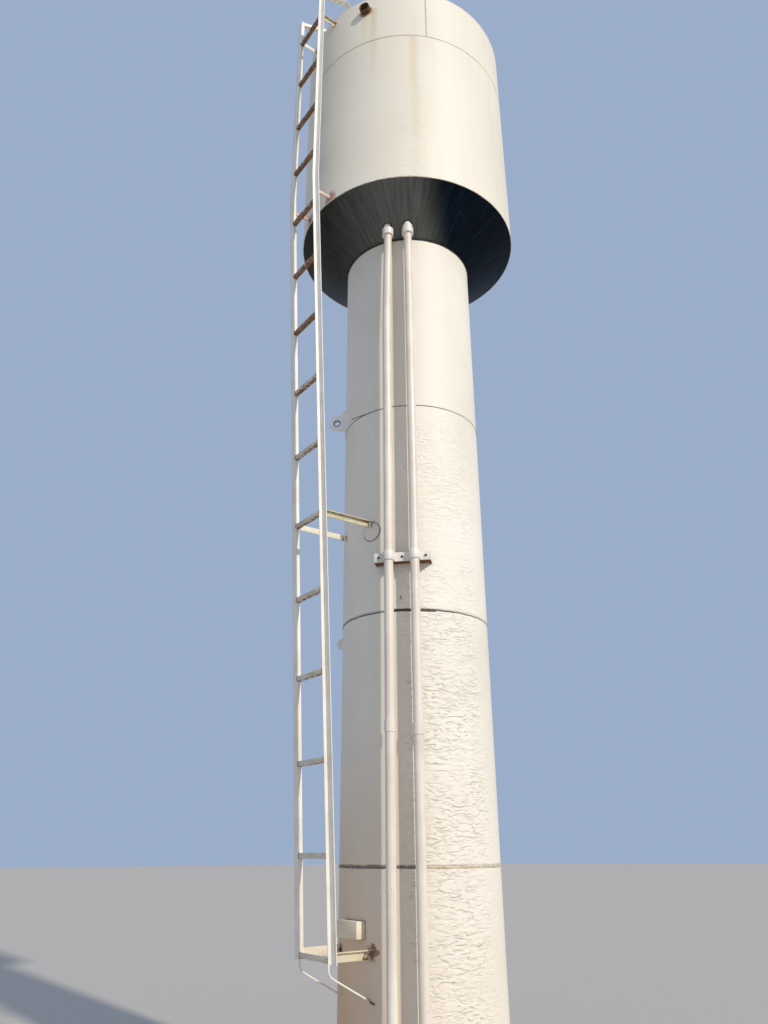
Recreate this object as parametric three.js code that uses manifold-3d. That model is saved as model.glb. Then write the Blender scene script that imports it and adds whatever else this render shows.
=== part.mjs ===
// A welded steel water tower: a slim round column carries a wider round tank on a short cone.
// Millimetres, +Z up. The origin is on the column's axis at ground level.
// The front, -Y, faces the two risers. The ladder stands to the left of the front.

import * as THREE from 'three';
import { mergeVertices } from 'three/addons/utils/BufferGeometryUtils.js';
import Module from 'manifold-3d';

const wasm = await Module();
wasm.setup();

// Driving dimensions of the column

const COLUMN_RADIUS = 500;
const COLUMN_WALL = 6;
const COURSE_HEIGHT = 1500;
const COURSE_COUNT = 4;
const BASE_RADIUS = 640;
const BASE_THICKNESS = 16;
const GUSSET_COUNT = 8;
const GUSSET_HEIGHT = 150;
const GUSSET_REACH = 100;
const GUSSET_THICKNESS = 10;

// Driving dimensions of the tank

const TANK_RADIUS = 885;
const TANK_WALL = 5;
const CONE_TOP = 6260;
const TANK_SEAM = 7804;
const TANK_TOP = 8338;
const FLOOR_THICKNESS = 6;
const ROOF_THICKNESS = 5;
const ROOF_SLOPE = 0.1;
const HATCH_RADIUS = 280;
const HATCH_WALL = 6;
const HATCH_TOP = 8500;
const COVER_RADIUS = 300;
const COVER_THICKNESS = 4;
const COVER_SKIRT = 35;
const COVER_CROWN = 10;

// Driving dimensions of the ladder
// Its rails stand upright beside the tank and lean in towards the column below the tank.

const LADDER_AZIMUTH = THREE.MathUtils.degToRad(44.7);
const RAIL_CLEAR = 303;
const RAIL_DEPTH = 30;
const RAIL_BREADTH = 50;
const RAIL_THICKNESS = 5;
const RAIL_DISTANCE = 1020;
const RAIL_BOTTOM = 1028;
const RAIL_KINK = 6455;
const RAIL_TOP = 8550;
const RAIL_LEAN = 0.0517;
const RUNG_COUNT = 15;
const TOP_RUNG = 8250;
const RUNG_STEP = 514.3;
const RUNG_LEG = 30;
const RUNG_THICKNESS = 4;
const ARM_THICKNESS = 5;
const ARM_FLAT = 25;
const ARMS = [
  { top: 8290, leg: 40, wall: 'tank' },
  { top: 3641, leg: 40, wall: 'column', padded: true },
  { top: 1086, leg: 50, wall: 'column' },
];
const BAR_THICKNESS = 8;
const RIM_ARM_HEIGHT = 6305;
const RIM_ARM_DEPTH = 30;
const RETURN_DEPTH = 36;
const RETURN_BEND = 775;
const RETURN_PEAK = 8650;
const RETURN_FOOT = 455;
const PAD_RADIUS = 64;
const PAD_THICKNESS = 4;
const PAD_CENTRE = 3573;
const PAD_ACROSS = 158;
const ROD_RADIUS = 5;
const ROD_OFFSET = 10;
const ROD_BEND = 975;
const ROD_FOOT = 800;

// Driving dimensions of the risers and their clamp

const RISER_X = 85;
const RISER_RADIUS = 30.15;
const RISER_WALL = 3.9;
const SOCKET_RADIUS = 34;
const SOCKET_LENGTH = 70;
const SOCKET_TOPS = { left: 2305, right: 2285 };
const COUPLING_RADIUS = 44;
const COUPLING_NECK_RADIUS = 38;
const COUPLINGS = {
  left: { bottom: 5977, shoulder: 6038, neck: 6038 },
  right: { bottom: 5971, shoulder: 6023, neck: 6053 },
};
const SWAY_HEIGHT = 5200;
const RISER_SWAY = { left: 15, right: 0 };
const RISER_HOLE_RADIUS = 34;
const CLAMP_HEIGHT = 62;
const CLAMP_CENTRE = 3344;
const CLAMP_HALF_LENGTH = 185;
const CLAMP_THICKNESS = 6;
const CLAMP_ANGLE_LEG = 50;
const CLAMP_ANGLE_THICKNESS = 5;

// Driving dimensions of the small fittings on the walls

const LUG_ROOT = { bottom: 4597, top: 4812 };
const LUG_HOLE_CENTRE = 4687;
const LUG_HOLE_REACH = 82;
const LUG_HOLE_RADIUS = 23;
const LUG_END_RADIUS = 60;
const LUG_THICKNESS = 16;
const SMALL_LUG_REACH = 52;
const SMALL_LUG_HALF_HEIGHT = 40;
const SMALL_LUG_CENTRE = 2920;
const SMALL_LUG_THICKNESS = 12;
const BOX_AZIMUTH = THREE.MathUtils.degToRad(42.8);
const BOX_WIDTH = 198;
const BOX_HEIGHT = 90;
const BOX_REACH = 51;
const BOX_CENTRE = 1178;
const SPOUT_AZIMUTH = THREE.MathUtils.degToRad(12.8);
const SPOUT_RADIUS = 44.5;
const SPOUT_WALL = 4;
const SPOUT_CENTRE = 8195;
const SPOUT_END = 930;

// Facets of the round pieces, the clearance left where one piece is cut to fit another,
// and how far a fitting is drawn into a wall before it is cut to it

const SHELL_SIDES = 72;
const PIPE_SIDES = 24;
const ROD_SIDES = 8;
const FIT_GAP = 0.3;
const WALL_OVERLAP = 60;
const LONG = 400;

// The clamp's angle stands a leg out from the column, and the risers rest against it

const CLAMP_FACE = -COLUMN_RADIUS - CLAMP_ANGLE_LEG;
const RISER_Y = CLAMP_FACE - RISER_RADIUS - FIT_GAP;

const CONE_BOTTOM = COURSE_HEIGHT * COURSE_COUNT;
const CONE_RISE = (CONE_TOP - CONE_BOTTOM) / (TANK_RADIUS - COLUMN_RADIUS);

// Paints, each with its colour and sheen

const paints = {
  columnCream: { color: '#e4dccb', roughness: 0.62, metalness: 0 },
  tankCream: { color: '#ddd5c2', roughness: 0.6, metalness: 0 },
  bitumen: { color: '#2d3030', roughness: 0.42, metalness: 0 },
  ladderWhite: { color: '#dcd8cc', roughness: 0.58, metalness: 0 },
  rustySteel: { color: '#6f4a33', roughness: 0.85, metalness: 0.1 },
  pipeIvory: { color: '#ded3c6', roughness: 0.5, metalness: 0 },
};

// A clean closed geometry: shared corners merged, empty triangles dropped, faces pointing out
function clean(geometry) {
  const bare = geometry.clone();
  bare.deleteAttribute('normal');
  bare.deleteAttribute('uv');
  const merged = mergeVertices(bare, 0.001);
  const position = merged.attributes.position;
  const index = merged.index.array;
  const kept = [];
  for (let i = 0; i < index.length; i += 3) {
    const [a, b, c] = [index[i], index[i + 1], index[i + 2]];
    if (a !== b && b !== c && c !== a) kept.push(a, b, c);
  }
  const corner = [new THREE.Vector3(), new THREE.Vector3(), new THREE.Vector3()];
  let volume = 0;
  for (let i = 0; i < kept.length; i += 3) {
    corner.forEach((v, k) => v.fromBufferAttribute(position, kept[i + k]));
    volume += corner[0].dot(corner[1].clone().cross(corner[2]));
  }
  if (volume < 0) {
    for (let i = 0; i < kept.length; i += 3) [kept[i], kept[i + 1]] = [kept[i + 1], kept[i]];
  }
  merged.setIndex(kept);
  return merged;
}

function toSolid(geometry) {
  const closed = clean(geometry);
  const vertProperties = new Float32Array(closed.attributes.position.array);
  const triVerts = new Uint32Array(closed.index.array);
  return new wasm.Manifold(new wasm.Mesh({ numProp: 3, vertProperties, triVerts }));
}

function toGeometry(solid) {
  const mesh = solid.getMesh();
  const geometry = new THREE.BufferGeometry();
  geometry.setAttribute('position', new THREE.BufferAttribute(mesh.vertProperties, 3));
  geometry.setIndex(new THREE.BufferAttribute(mesh.triVerts, 1));
  return geometry;
}

function cut(geometry, ...tools) {
  const result = tools.reduce((solid, tool) => solid.subtract(toSolid(tool)), toSolid(geometry));
  return toGeometry(result);
}

function join(geometry, ...others) {
  const result = others.reduce((solid, other) => solid.add(toSolid(other)), toSolid(geometry));
  return toGeometry(result);
}

// A body turned about the Z axis from a closed profile of [radius, height] points
function turned(profile, sides = SHELL_SIDES) {
  const closed = [...profile];
  const onAxis = profile[0][0] === 0 && profile[profile.length - 1][0] === 0;
  if (!onAxis) closed.push(profile[0]);
  const points = closed.map(([radius, height]) => new THREE.Vector2(radius, height));
  return new THREE.LatheGeometry(points, sides).rotateX(Math.PI / 2);
}

function ring(outer, wall, bottom, top, sides = SHELL_SIDES) {
  return turned([[outer - wall, bottom], [outer, bottom], [outer, top], [outer - wall, top]], sides);
}

function rod(radius, bottom, top, sides = PIPE_SIDES) {
  return turned([[0, bottom], [radius, bottom], [radius, top], [0, top]], sides);
}

// A block between two opposite corners, given as pairs of x, y and z in either order
function block(xMin, xMax, yMin, yMax, zMin, zMax) {
  const size = [xMax - xMin, yMax - yMin, zMax - zMin].map(Math.abs);
  return new THREE.BoxGeometry(...size).translate((xMin + xMax) / 2, (yMin + yMax) / 2, (zMin + zMax) / 2);
}

// A flat outline of [x, y] points, extruded upwards from z = 0
function plate(outline, thickness) {
  const shape = new THREE.Shape(outline.map(([x, y]) => new THREE.Vector2(x, y)));
  return new THREE.ExtrudeGeometry(shape, { depth: thickness, bevelEnabled: false });
}

// Points of an arc about [x, y], with both ends, angles in degrees
function arc(x, y, radius, from, to, steps) {
  const points = [];
  for (let i = 0; i <= steps; i += 1) {
    const angle = THREE.MathUtils.degToRad(from + ((to - from) * i) / steps);
    points.push([x + radius * Math.cos(angle), y + radius * Math.sin(angle)]);
  }
  return points;
}

// The same, standing in the YZ plane and centred on x: outline points are [y, z]
function standingPlate(outline, thickness, x = 0) {
  return plate(outline, thickness)
    .translate(0, 0, -thickness / 2)
    .rotateX(Math.PI / 2)
    .rotateZ(Math.PI / 2)
    .translate(x, 0, 0);
}

// The round wall a fitting is cut to, a fit gap larger than the wall itself
function wallCutter(radius) {
  return rod(radius + FIT_GAP, 0, TANK_TOP + LONG, SHELL_SIDES);
}

const roofTop = (radius) => TANK_TOP + ROOF_THICKNESS + (TANK_RADIUS - radius) * ROOF_SLOPE;

// The roof and all that is below it, raised by the fit gap
function roofCutter() {
  return turned([
    [0, TANK_TOP - LONG],
    [TANK_RADIUS, TANK_TOP - LONG],
    [TANK_RADIUS, roofTop(TANK_RADIUS) + FIT_GAP],
    [0, roofTop(0) + FIT_GAP],
  ]);
}

const group = new THREE.Group();

function addPiece(name, geometry, paint, parent = group) {
  const mesh = new THREE.Mesh(clean(geometry), new THREE.MeshStandardMaterial(paints[paint]));
  mesh.name = name;
  parent.add(mesh);
  return mesh;
}

// Base plate with its welded gussets and a hole for each riser

function gusset(azimuth) {
  const inner = COLUMN_RADIUS + FIT_GAP;
  const sunk = BASE_THICKNESS / 2;
  const outline = [
    [-inner, sunk],
    [-inner, BASE_THICKNESS + GUSSET_HEIGHT],
    [-inner - GUSSET_REACH / 4, BASE_THICKNESS + GUSSET_HEIGHT],
    [-inner - GUSSET_REACH, BASE_THICKNESS + GUSSET_HEIGHT / 6],
    [-inner - GUSSET_REACH, sunk],
  ];
  return standingPlate(outline, GUSSET_THICKNESS).rotateZ(azimuth);
}

function basePlate() {
  const gussets = [];
  for (let i = 0; i < GUSSET_COUNT; i += 1) {
    gussets.push(gusset(((i + 0.5) / GUSSET_COUNT) * Math.PI * 2));
  }
  const holes = [-RISER_X, RISER_X].map((x) =>
    rod(RISER_HOLE_RADIUS, -BASE_THICKNESS, BASE_THICKNESS * 2).translate(x, RISER_Y, 0));
  return cut(join(rod(BASE_RADIUS, 0, BASE_THICKNESS, SHELL_SIDES), ...gussets), ...holes);
}

addPiece('base_plate', basePlate(), 'columnCream');

// Column, four rolled courses stacked edge to edge

for (let i = 0; i < COURSE_COUNT; i += 1) {
  const bottom = i === 0 ? BASE_THICKNESS : i * COURSE_HEIGHT;
  const top = i === COURSE_COUNT - 1 ? CONE_BOTTOM - FLOOR_THICKNESS : (i + 1) * COURSE_HEIGHT;
  addPiece(`column_course_${i + 1}`, ring(COLUMN_RADIUS, COLUMN_WALL, bottom, top), 'columnCream');
}

// Tank: a floor over the column, the cone, two courses and a shallow roof

addPiece('tank_floor', rod(COLUMN_RADIUS, CONE_BOTTOM - FLOOR_THICKNESS, CONE_BOTTOM, SHELL_SIDES), 'bitumen');

function coneShell() {
  const slope = Math.atan(CONE_RISE);
  const flat = TANK_WALL / Math.sin(slope);
  return turned([
    [COLUMN_RADIUS - flat, CONE_BOTTOM],
    [COLUMN_RADIUS, CONE_BOTTOM],
    [TANK_RADIUS, CONE_TOP],
    [TANK_RADIUS - flat, CONE_TOP],
  ]);
}

const spoutAim = (geometry) => geometry
  .rotateX(Math.PI / 2)
  .rotateZ(-SPOUT_AZIMUTH)
  .translate(0, 0, SPOUT_CENTRE);

// The upper course has the hole that the overflow spout drains
function upperCourse() {
  const hole = spoutAim(rod(SPOUT_RADIUS - SPOUT_WALL, TANK_RADIUS / 2, SPOUT_END));
  return cut(ring(TANK_RADIUS, TANK_WALL, TANK_SEAM, TANK_TOP), hole);
}

addPiece('tank_cone', coneShell(), 'bitumen');
addPiece('tank_course_lower', ring(TANK_RADIUS, TANK_WALL, CONE_TOP, TANK_SEAM), 'tankCream');
addPiece('tank_course_upper', upperCourse(), 'tankCream');

function roofShell() {
  const eaveInner = TANK_RADIUS - TANK_WALL * 2;
  const hole = HATCH_RADIUS - HATCH_WALL;
  return turned([
    [eaveInner, TANK_TOP],
    [TANK_RADIUS, TANK_TOP],
    [TANK_RADIUS, roofTop(TANK_RADIUS)],
    [hole, roofTop(hole)],
    [hole, roofTop(hole) - ROOF_THICKNESS],
  ]);
}

addPiece('tank_roof', roofShell(), 'tankCream');

function hatchNeck() {
  const inner = HATCH_RADIUS - HATCH_WALL;
  return turned([
    [inner, roofTop(inner) + FIT_GAP],
    [HATCH_RADIUS, roofTop(HATCH_RADIUS) + FIT_GAP],
    [HATCH_RADIUS, HATCH_TOP],
    [inner, HATCH_TOP],
  ]);
}

addPiece('hatch_neck', hatchNeck(), 'tankCream');

function hatchCover() {
  const skirtInner = COVER_RADIUS - COVER_THICKNESS;
  return turned([
    [0, HATCH_TOP],
    [skirtInner, HATCH_TOP],
    [skirtInner, HATCH_TOP - COVER_SKIRT],
    [COVER_RADIUS, HATCH_TOP - COVER_SKIRT],
    [COVER_RADIUS, HATCH_TOP + COVER_THICKNESS],
    [0, HATCH_TOP + COVER_THICKNESS + COVER_CROWN],
  ]);
}

addPiece('hatch_cover', hatchCover(), 'tankCream');

// Ladder, drawn square to its own axes and then turned about the column:
// +X runs from the far rail to the near rail, and -Y points away from the tower.

const ladder = new THREE.Group();
ladder.rotation.z = -LADDER_AZIMUTH;
group.add(ladder);

const railCentre = (height) => RAIL_DISTANCE - RAIL_LEAN * Math.max(0, RAIL_KINK - height);
const wallDepth = (radius, across) => Math.sqrt(radius * radius - across * across);
const railFace = (height) => -railCentre(height) + RAIL_DEPTH / 2;
const railEdge = RAIL_CLEAR / 2;
const railLine = railEdge + RAIL_THICKNESS / 2;
const walls = { tank: TANK_RADIUS, column: COLUMN_RADIUS };

// A block between two positions across the ladder, which follows the rail's lean and kink
function railStrip(across, depths) {
  const heights = [RAIL_BOTTOM, RAIL_KINK, RAIL_TOP];
  const outer = heights.map((z) => [-railCentre(z) + depths[0], z]);
  const inner = heights.map((z) => [-railCentre(z) + depths[1], z]).reverse();
  const [from, to] = across;
  return standingPlate([...outer, ...inner], Math.abs(to - from), (from + to) / 2);
}

// An arm of steel angle from behind the rail to the wall: a flat leg on top and an upright leg.
// The upright leg is on the rungs' side of either arm.
function arm(side, { top, leg, wall }) {
  const outer = railFace(top) - RAIL_THICKNESS / 2;
  const inner = -wallDepth(walls[wall] - WALL_OVERLAP, railEdge + leg);
  const nearest = side > 0 ? railEdge + RAIL_THICKNESS : -railEdge;
  const flat = block(nearest, nearest + side * ARM_FLAT, outer, inner, top - ARM_THICKNESS, top);
  const upright = block(nearest, nearest + side * ARM_THICKNESS, outer, inner, top - leg, top);
  return join(flat, upright);
}

// A round pad welded to the column's wall below the end of the middle arm
function wallPad() {
  return rod(PAD_RADIUS, COLUMN_RADIUS - WALL_OVERLAP, COLUMN_RADIUS + PAD_THICKNESS)
    .rotateX(Math.PI / 2)
    .rotateZ(Math.asin(PAD_ACROSS / COLUMN_RADIUS))
    .translate(0, 0, PAD_CENTRE);
}

// Both rails are of steel angle. Their deep legs carry the rungs between them. The broad legs point
// away from the rungs: the far rail's lies on its outer face, the near rail's on the tower's side.
function rail(side) {
  const half = RAIL_DEPTH / 2;
  const breadth = side > 0 ? [half - RAIL_THICKNESS, half] : [-half, RAIL_THICKNESS - half];
  const deepLeg = railStrip([side * railEdge, side * (railEdge + RAIL_THICKNESS)], [-half, half]);
  const broadLeg = railStrip([side * railEdge, side * (railEdge + RAIL_BREADTH)], breadth);
  const arms = ARMS.map((place) => {
    const pads = side > 0 && place.padded ? [wallPad()] : [];
    return cut(join(arm(side, place), ...pads), wallCutter(walls[place.wall]));
  });
  return join(deepLeg, broadLeg, ...arms);
}

// Each rail's angle returns over the rim: it climbs inwards to a bend, then comes down to the roof
// at 45 degrees. Its broad leg stays on the side that it has on the rail.
function railReturn(side) {
  const line = [
    [railFace(RAIL_TOP) + FIT_GAP, RAIL_TOP],
    [-RETURN_BEND, RETURN_PEAK],
    [-RETURN_FOOT, RETURN_PEAK - RETURN_BEND + RETURN_FOOT],
  ];
  const lowered = (drop) => line.map(([y, z]) => [y, z - drop]);
  const leg = (from, to, width) => {
    const outline = [...lowered(from), ...lowered(to).reverse()];
    return standingPlate(outline, width, side * (railEdge + width / 2));
  };
  const broad = side > 0 ? [RETURN_DEPTH - RAIL_THICKNESS, RETURN_DEPTH] : [0, RAIL_THICKNESS];
  const angle = join(leg(0, RETURN_DEPTH, RAIL_THICKNESS), leg(...broad, RAIL_BREADTH));
  return cut(angle, roofCutter());
}

// A rung of steel angle: an upright leg on the outside and a flat leg at its bottom
function rung(height) {
  const y = -railCentre(height);
  const half = RUNG_LEG / 2;
  const outline = [
    [y - half, height + half],
    [y - half, height - half],
    [y + half, height - half],
    [y + half, height - half + RUNG_THICKNESS],
    [y - half + RUNG_THICKNESS, height - half + RUNG_THICKNESS],
    [y - half + RUNG_THICKNESS, height + half],
  ];
  return standingPlate(outline, RAIL_CLEAR - FIT_GAP * 2);
}

for (let step = 1; step <= RUNG_COUNT; step += 1) {
  addPiece(`rung_${step}`, rung(TOP_RUNG - (step - 1) * RUNG_STEP), 'ladderWhite', ladder);
}

// A flat bar from the rail's inner edge to the tank's wall, just above the cone
function rimArm(x) {
  const bottom = RIM_ARM_HEIGHT - RIM_ARM_DEPTH / 2;
  const top = RIM_ARM_HEIGHT + RIM_ARM_DEPTH / 2;
  const wall = -wallDepth(TANK_RADIUS - WALL_OVERLAP, railLine);
  const outline = [
    [railFace(bottom) + FIT_GAP, bottom],
    [wall, bottom],
    [wall, top],
    [railFace(top) + FIT_GAP, top],
  ];
  return cut(standingPlate(outline, BAR_THICKNESS, x), wallCutter(TANK_RADIUS));
}

// A thin rod that hangs under the rail, bends, and slants down to the column's wall
function stayRod(x) {
  const y = -railCentre(RAIL_BOTTOM) - ROD_OFFSET;
  const wall = -wallDepth(COLUMN_RADIUS - WALL_OVERLAP, railLine);
  const section = new THREE.Shape();
  section.absarc(0, 0, ROD_RADIUS, 0, Math.PI * 2);
  const route = new THREE.CurvePath();
  const top = new THREE.Vector3(x, y, RAIL_BOTTOM - FIT_GAP);
  const bend = new THREE.Vector3(x, y, ROD_BEND);
  const foot = new THREE.Vector3(x, wall, ROD_FOOT);
  const before = bend.clone().lerp(top, 0.4);
  const after = bend.clone().lerp(foot, 0.1);
  route.add(new THREE.LineCurve3(top, before));
  route.add(new THREE.QuadraticBezierCurve3(before, bend, after));
  route.add(new THREE.LineCurve3(after, foot));
  const body = new THREE.ExtrudeGeometry(section, {
    steps: 14, curveSegments: ROD_SIDES, bevelEnabled: false, extrudePath: route,
  });
  return cut(body, wallCutter(COLUMN_RADIUS));
}

for (const [side, place] of [[-1, 'far'], [1, 'near']]) {
  const x = side * railLine;
  addPiece(`ladder_rail_${place}`, rail(side), 'ladderWhite', ladder);
  addPiece(`rail_return_${place}`, railReturn(side), 'ladderWhite', ladder);
  addPiece(`rim_arm_${place}`, rimArm(x), 'ladderWhite', ladder);
  addPiece(`stay_rod_${place}`, stayRod(x), 'ladderWhite', ladder);
}

// Two risers of steel pipe up the front of the column, each with a socket at its joint

const RISER_BORE = RISER_RADIUS - RISER_WALL;

// Above the sway height a riser slants sideways, by its sway at the coupling
function swayed(geometry, side) {
  const { position } = geometry.attributes;
  const reach = COUPLINGS[side].bottom - SWAY_HEIGHT;
  for (let i = 0; i < position.count; i += 1) {
    const rise = Math.min(1, Math.max(0, (position.getZ(i) - SWAY_HEIGHT) / reach));
    position.setX(i, position.getX(i) + RISER_SWAY[side] * rise);
  }
  return geometry;
}

function riser(side) {
  const top = COUPLINGS[side].bottom;
  const socketTop = SOCKET_TOPS[side];
  const socketBottom = socketTop - SOCKET_LENGTH;
  return turned([
    [RISER_BORE, 0],
    [RISER_RADIUS, 0],
    [RISER_RADIUS, socketBottom],
    [SOCKET_RADIUS, socketBottom],
    [SOCKET_RADIUS, socketTop],
    [RISER_RADIUS, socketTop],
    [RISER_RADIUS, SWAY_HEIGHT],
    [RISER_RADIUS, top],
    [RISER_BORE, top],
    [RISER_BORE, SWAY_HEIGHT],
  ], PIPE_SIDES);
}

// The cone's underside, lowered by the fit gap, and all that is above it
function coneCutter() {
  const drop = FIT_GAP * Math.hypot(1, CONE_RISE);
  const underside = (radius) => CONE_BOTTOM + (radius - COLUMN_RADIUS) * CONE_RISE - drop;
  const inner = COLUMN_RADIUS / 2;
  const outer = TANK_RADIUS;
  return turned([[0, underside(inner)], [inner, underside(inner)], [outer, underside(outer)],
    [outer, CONE_TOP + LONG], [0, CONE_TOP + LONG]]);
}

// A coupling at the riser's top and a short nipple from it into the cone
function riserCoupling(side) {
  const { bottom, shoulder, neck } = COUPLINGS[side];
  const top = CONE_TOP;
  const steps = [[RISER_BORE, bottom], [COUPLING_RADIUS, bottom], [COUPLING_RADIUS, shoulder]];
  if (neck > shoulder) steps.push([COUPLING_NECK_RADIUS, shoulder], [COUPLING_NECK_RADIUS, neck]);
  const profile = [...steps, [RISER_RADIUS, neck], [RISER_RADIUS, top], [RISER_BORE, top]];
  return turned(profile, PIPE_SIDES);
}

for (const [side, direction] of [['left', -1], ['right', 1]]) {
  const x = direction * RISER_X;
  addPiece(`riser_${side}`, swayed(riser(side), side).translate(x, RISER_Y, 0), 'pipeIvory');
  const coupling = cut(riserCoupling(side).translate(x + RISER_SWAY[side], RISER_Y, 0), coneCutter());
  addPiece(`riser_coupling_${side}`, coupling, 'pipeIvory');
}

// The clamp bar, bent out over both risers, and the angle behind it on the column

function pipeClamp() {
  const inner = RISER_RADIUS + FIT_GAP;
  const outer = inner + CLAMP_THICKNESS;
  const front = CLAMP_FACE - CLAMP_THICKNESS;
  const hump = (x, radius, y, from, to) => [
    [x - Math.sign(to - from) * radius, y],
    ...arc(x, RISER_Y, radius, from, to, 12),
    [x + Math.sign(to - from) * radius, y],
  ];
  const outline = [
    [-CLAMP_HALF_LENGTH, CLAMP_FACE],
    [-CLAMP_HALF_LENGTH, front],
    ...hump(-RISER_X, outer, front, 180, 360),
    ...hump(RISER_X, outer, front, 180, 360),
    [CLAMP_HALF_LENGTH, front],
    [CLAMP_HALF_LENGTH, CLAMP_FACE],
    ...hump(RISER_X, inner, CLAMP_FACE, 360, 180),
    ...hump(-RISER_X, inner, CLAMP_FACE, 360, 180),
  ];
  return plate(outline, CLAMP_HEIGHT).translate(0, 0, CLAMP_CENTRE - CLAMP_HEIGHT / 2);
}

function clampAngle() {
  const bottom = CLAMP_CENTRE - CLAMP_HEIGHT / 2;
  const back = -COLUMN_RADIUS + CLAMP_ANGLE_LEG;
  const inner = CLAMP_FACE + CLAMP_ANGLE_THICKNESS;
  const ends = [-CLAMP_HALF_LENGTH, CLAMP_HALF_LENGTH];
  const upright = block(...ends, CLAMP_FACE, inner, bottom, bottom + CLAMP_ANGLE_LEG);
  const flat = block(...ends, CLAMP_FACE, back, bottom, bottom + CLAMP_ANGLE_THICKNESS);
  return cut(join(upright, flat), wallCutter(COLUMN_RADIUS));
}

addPiece('pipe_clamp', pipeClamp(), 'pipeIvory');
addPiece('clamp_angle', clampAngle(), 'rustySteel');

// Two lugs welded to the column's left side, both drawn facing -Y and then turned to -X

const LEFT = -Math.PI / 2;

function liftingLug() {
  const inner = -COLUMN_RADIUS - FIT_GAP;
  const eye = -COLUMN_RADIUS - LUG_HOLE_REACH;
  const outline = [
    [inner, LUG_ROOT.top],
    ...arc(eye, LUG_HOLE_CENTRE, LUG_END_RADIUS, 80, 280, 16),
    [inner, LUG_ROOT.bottom],
  ];
  const hole = rod(LUG_HOLE_RADIUS, -LUG_THICKNESS, LUG_THICKNESS)
    .rotateY(Math.PI / 2)
    .translate(0, eye, LUG_HOLE_CENTRE);
  return cut(standingPlate(outline, LUG_THICKNESS), hole).rotateZ(LEFT);
}

function smallLug() {
  const inner = -COLUMN_RADIUS - FIT_GAP;
  const endCentre = -COLUMN_RADIUS - SMALL_LUG_REACH + SMALL_LUG_HALF_HEIGHT;
  const outline = [
    [inner, SMALL_LUG_CENTRE + SMALL_LUG_HALF_HEIGHT],
    ...arc(endCentre, SMALL_LUG_CENTRE, SMALL_LUG_HALF_HEIGHT, 90, 270, 12),
    [inner, SMALL_LUG_CENTRE - SMALL_LUG_HALF_HEIGHT],
  ];
  return standingPlate(outline, SMALL_LUG_THICKNESS).rotateZ(LEFT);
}

addPiece('lifting_lug', liftingLug(), 'columnCream');
addPiece('small_lug', smallLug(), 'columnCream');

// A closed cover that stands out from the column behind the ladder's foot

function wallBox() {
  const half = BOX_WIDTH / 2;
  const back = -COLUMN_RADIUS + WALL_OVERLAP;
  const low = BOX_CENTRE - BOX_HEIGHT / 2;
  const body = block(-half, half, -COLUMN_RADIUS - BOX_REACH, back, low, low + BOX_HEIGHT);
  return cut(body.rotateZ(-BOX_AZIMUTH), wallCutter(COLUMN_RADIUS));
}

addPiece('wall_box', wallBox(), 'columnCream');

// The overflow spout, a short pipe out of the tank's upper course

function overflowSpout() {
  const body = spoutAim(ring(SPOUT_RADIUS, SPOUT_WALL, TANK_RADIUS / 2, SPOUT_END, PIPE_SIDES));
  return cut(body, wallCutter(TANK_RADIUS));
}

addPiece('overflow_spout', overflowSpout(), 'rustySteel');

export default group;
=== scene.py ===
# %% [markdown]
# # A welded steel water tower
#
# A slim round column carries a wider round tank on a short cone. A ladder runs up one side, and two
# risers run up the front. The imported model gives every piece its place. This script gives each one its
# surface, and adds what a welder and a painter leave behind: beads, bolts, brush marks, drips and rust.

# %% Load the frame
import math

import bmesh
import bpy
from mathutils import Matrix, Vector, noise


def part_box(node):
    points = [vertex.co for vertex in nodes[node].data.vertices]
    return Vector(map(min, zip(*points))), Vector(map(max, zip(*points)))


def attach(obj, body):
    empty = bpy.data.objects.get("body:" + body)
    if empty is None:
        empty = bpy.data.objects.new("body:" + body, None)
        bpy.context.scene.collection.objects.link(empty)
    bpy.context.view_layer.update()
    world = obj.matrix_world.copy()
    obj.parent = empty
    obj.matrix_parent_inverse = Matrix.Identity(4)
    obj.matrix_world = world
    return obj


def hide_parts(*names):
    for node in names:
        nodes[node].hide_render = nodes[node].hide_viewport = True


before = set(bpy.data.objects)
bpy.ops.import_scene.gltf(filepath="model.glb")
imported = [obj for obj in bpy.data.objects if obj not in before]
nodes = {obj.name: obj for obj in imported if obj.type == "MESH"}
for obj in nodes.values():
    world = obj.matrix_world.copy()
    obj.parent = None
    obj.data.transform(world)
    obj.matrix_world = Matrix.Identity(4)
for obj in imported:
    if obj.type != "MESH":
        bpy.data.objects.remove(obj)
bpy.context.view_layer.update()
scene = bpy.context.scene
print("CAD nodes:", len(nodes))

# %% [markdown]
# ## Camera
#
# The picture was taken from eye height, close to the foot, looking up. The camera stands where the
# column's seams and both outlines fall on the same pixels as in the picture. A focal length in pixels
# turns into a lens through the sensor's long side.

# %% Camera
PICTURE_HEIGHT = 1024
FOCAL_PIXELS = 795.3
SENSOR = 36.0
EYE = Vector((0.703, -5.370, 1.601))
HEADING = Vector((-0.168, 0.986, 0.0)).normalized()
PITCH = math.radians(22.924)
ROLL = math.radians(-0.346)


def put(name, data):
    """A new object in the scene."""
    item = bpy.data.objects.new(name, data)
    scene.collection.objects.link(item)
    return item


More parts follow.
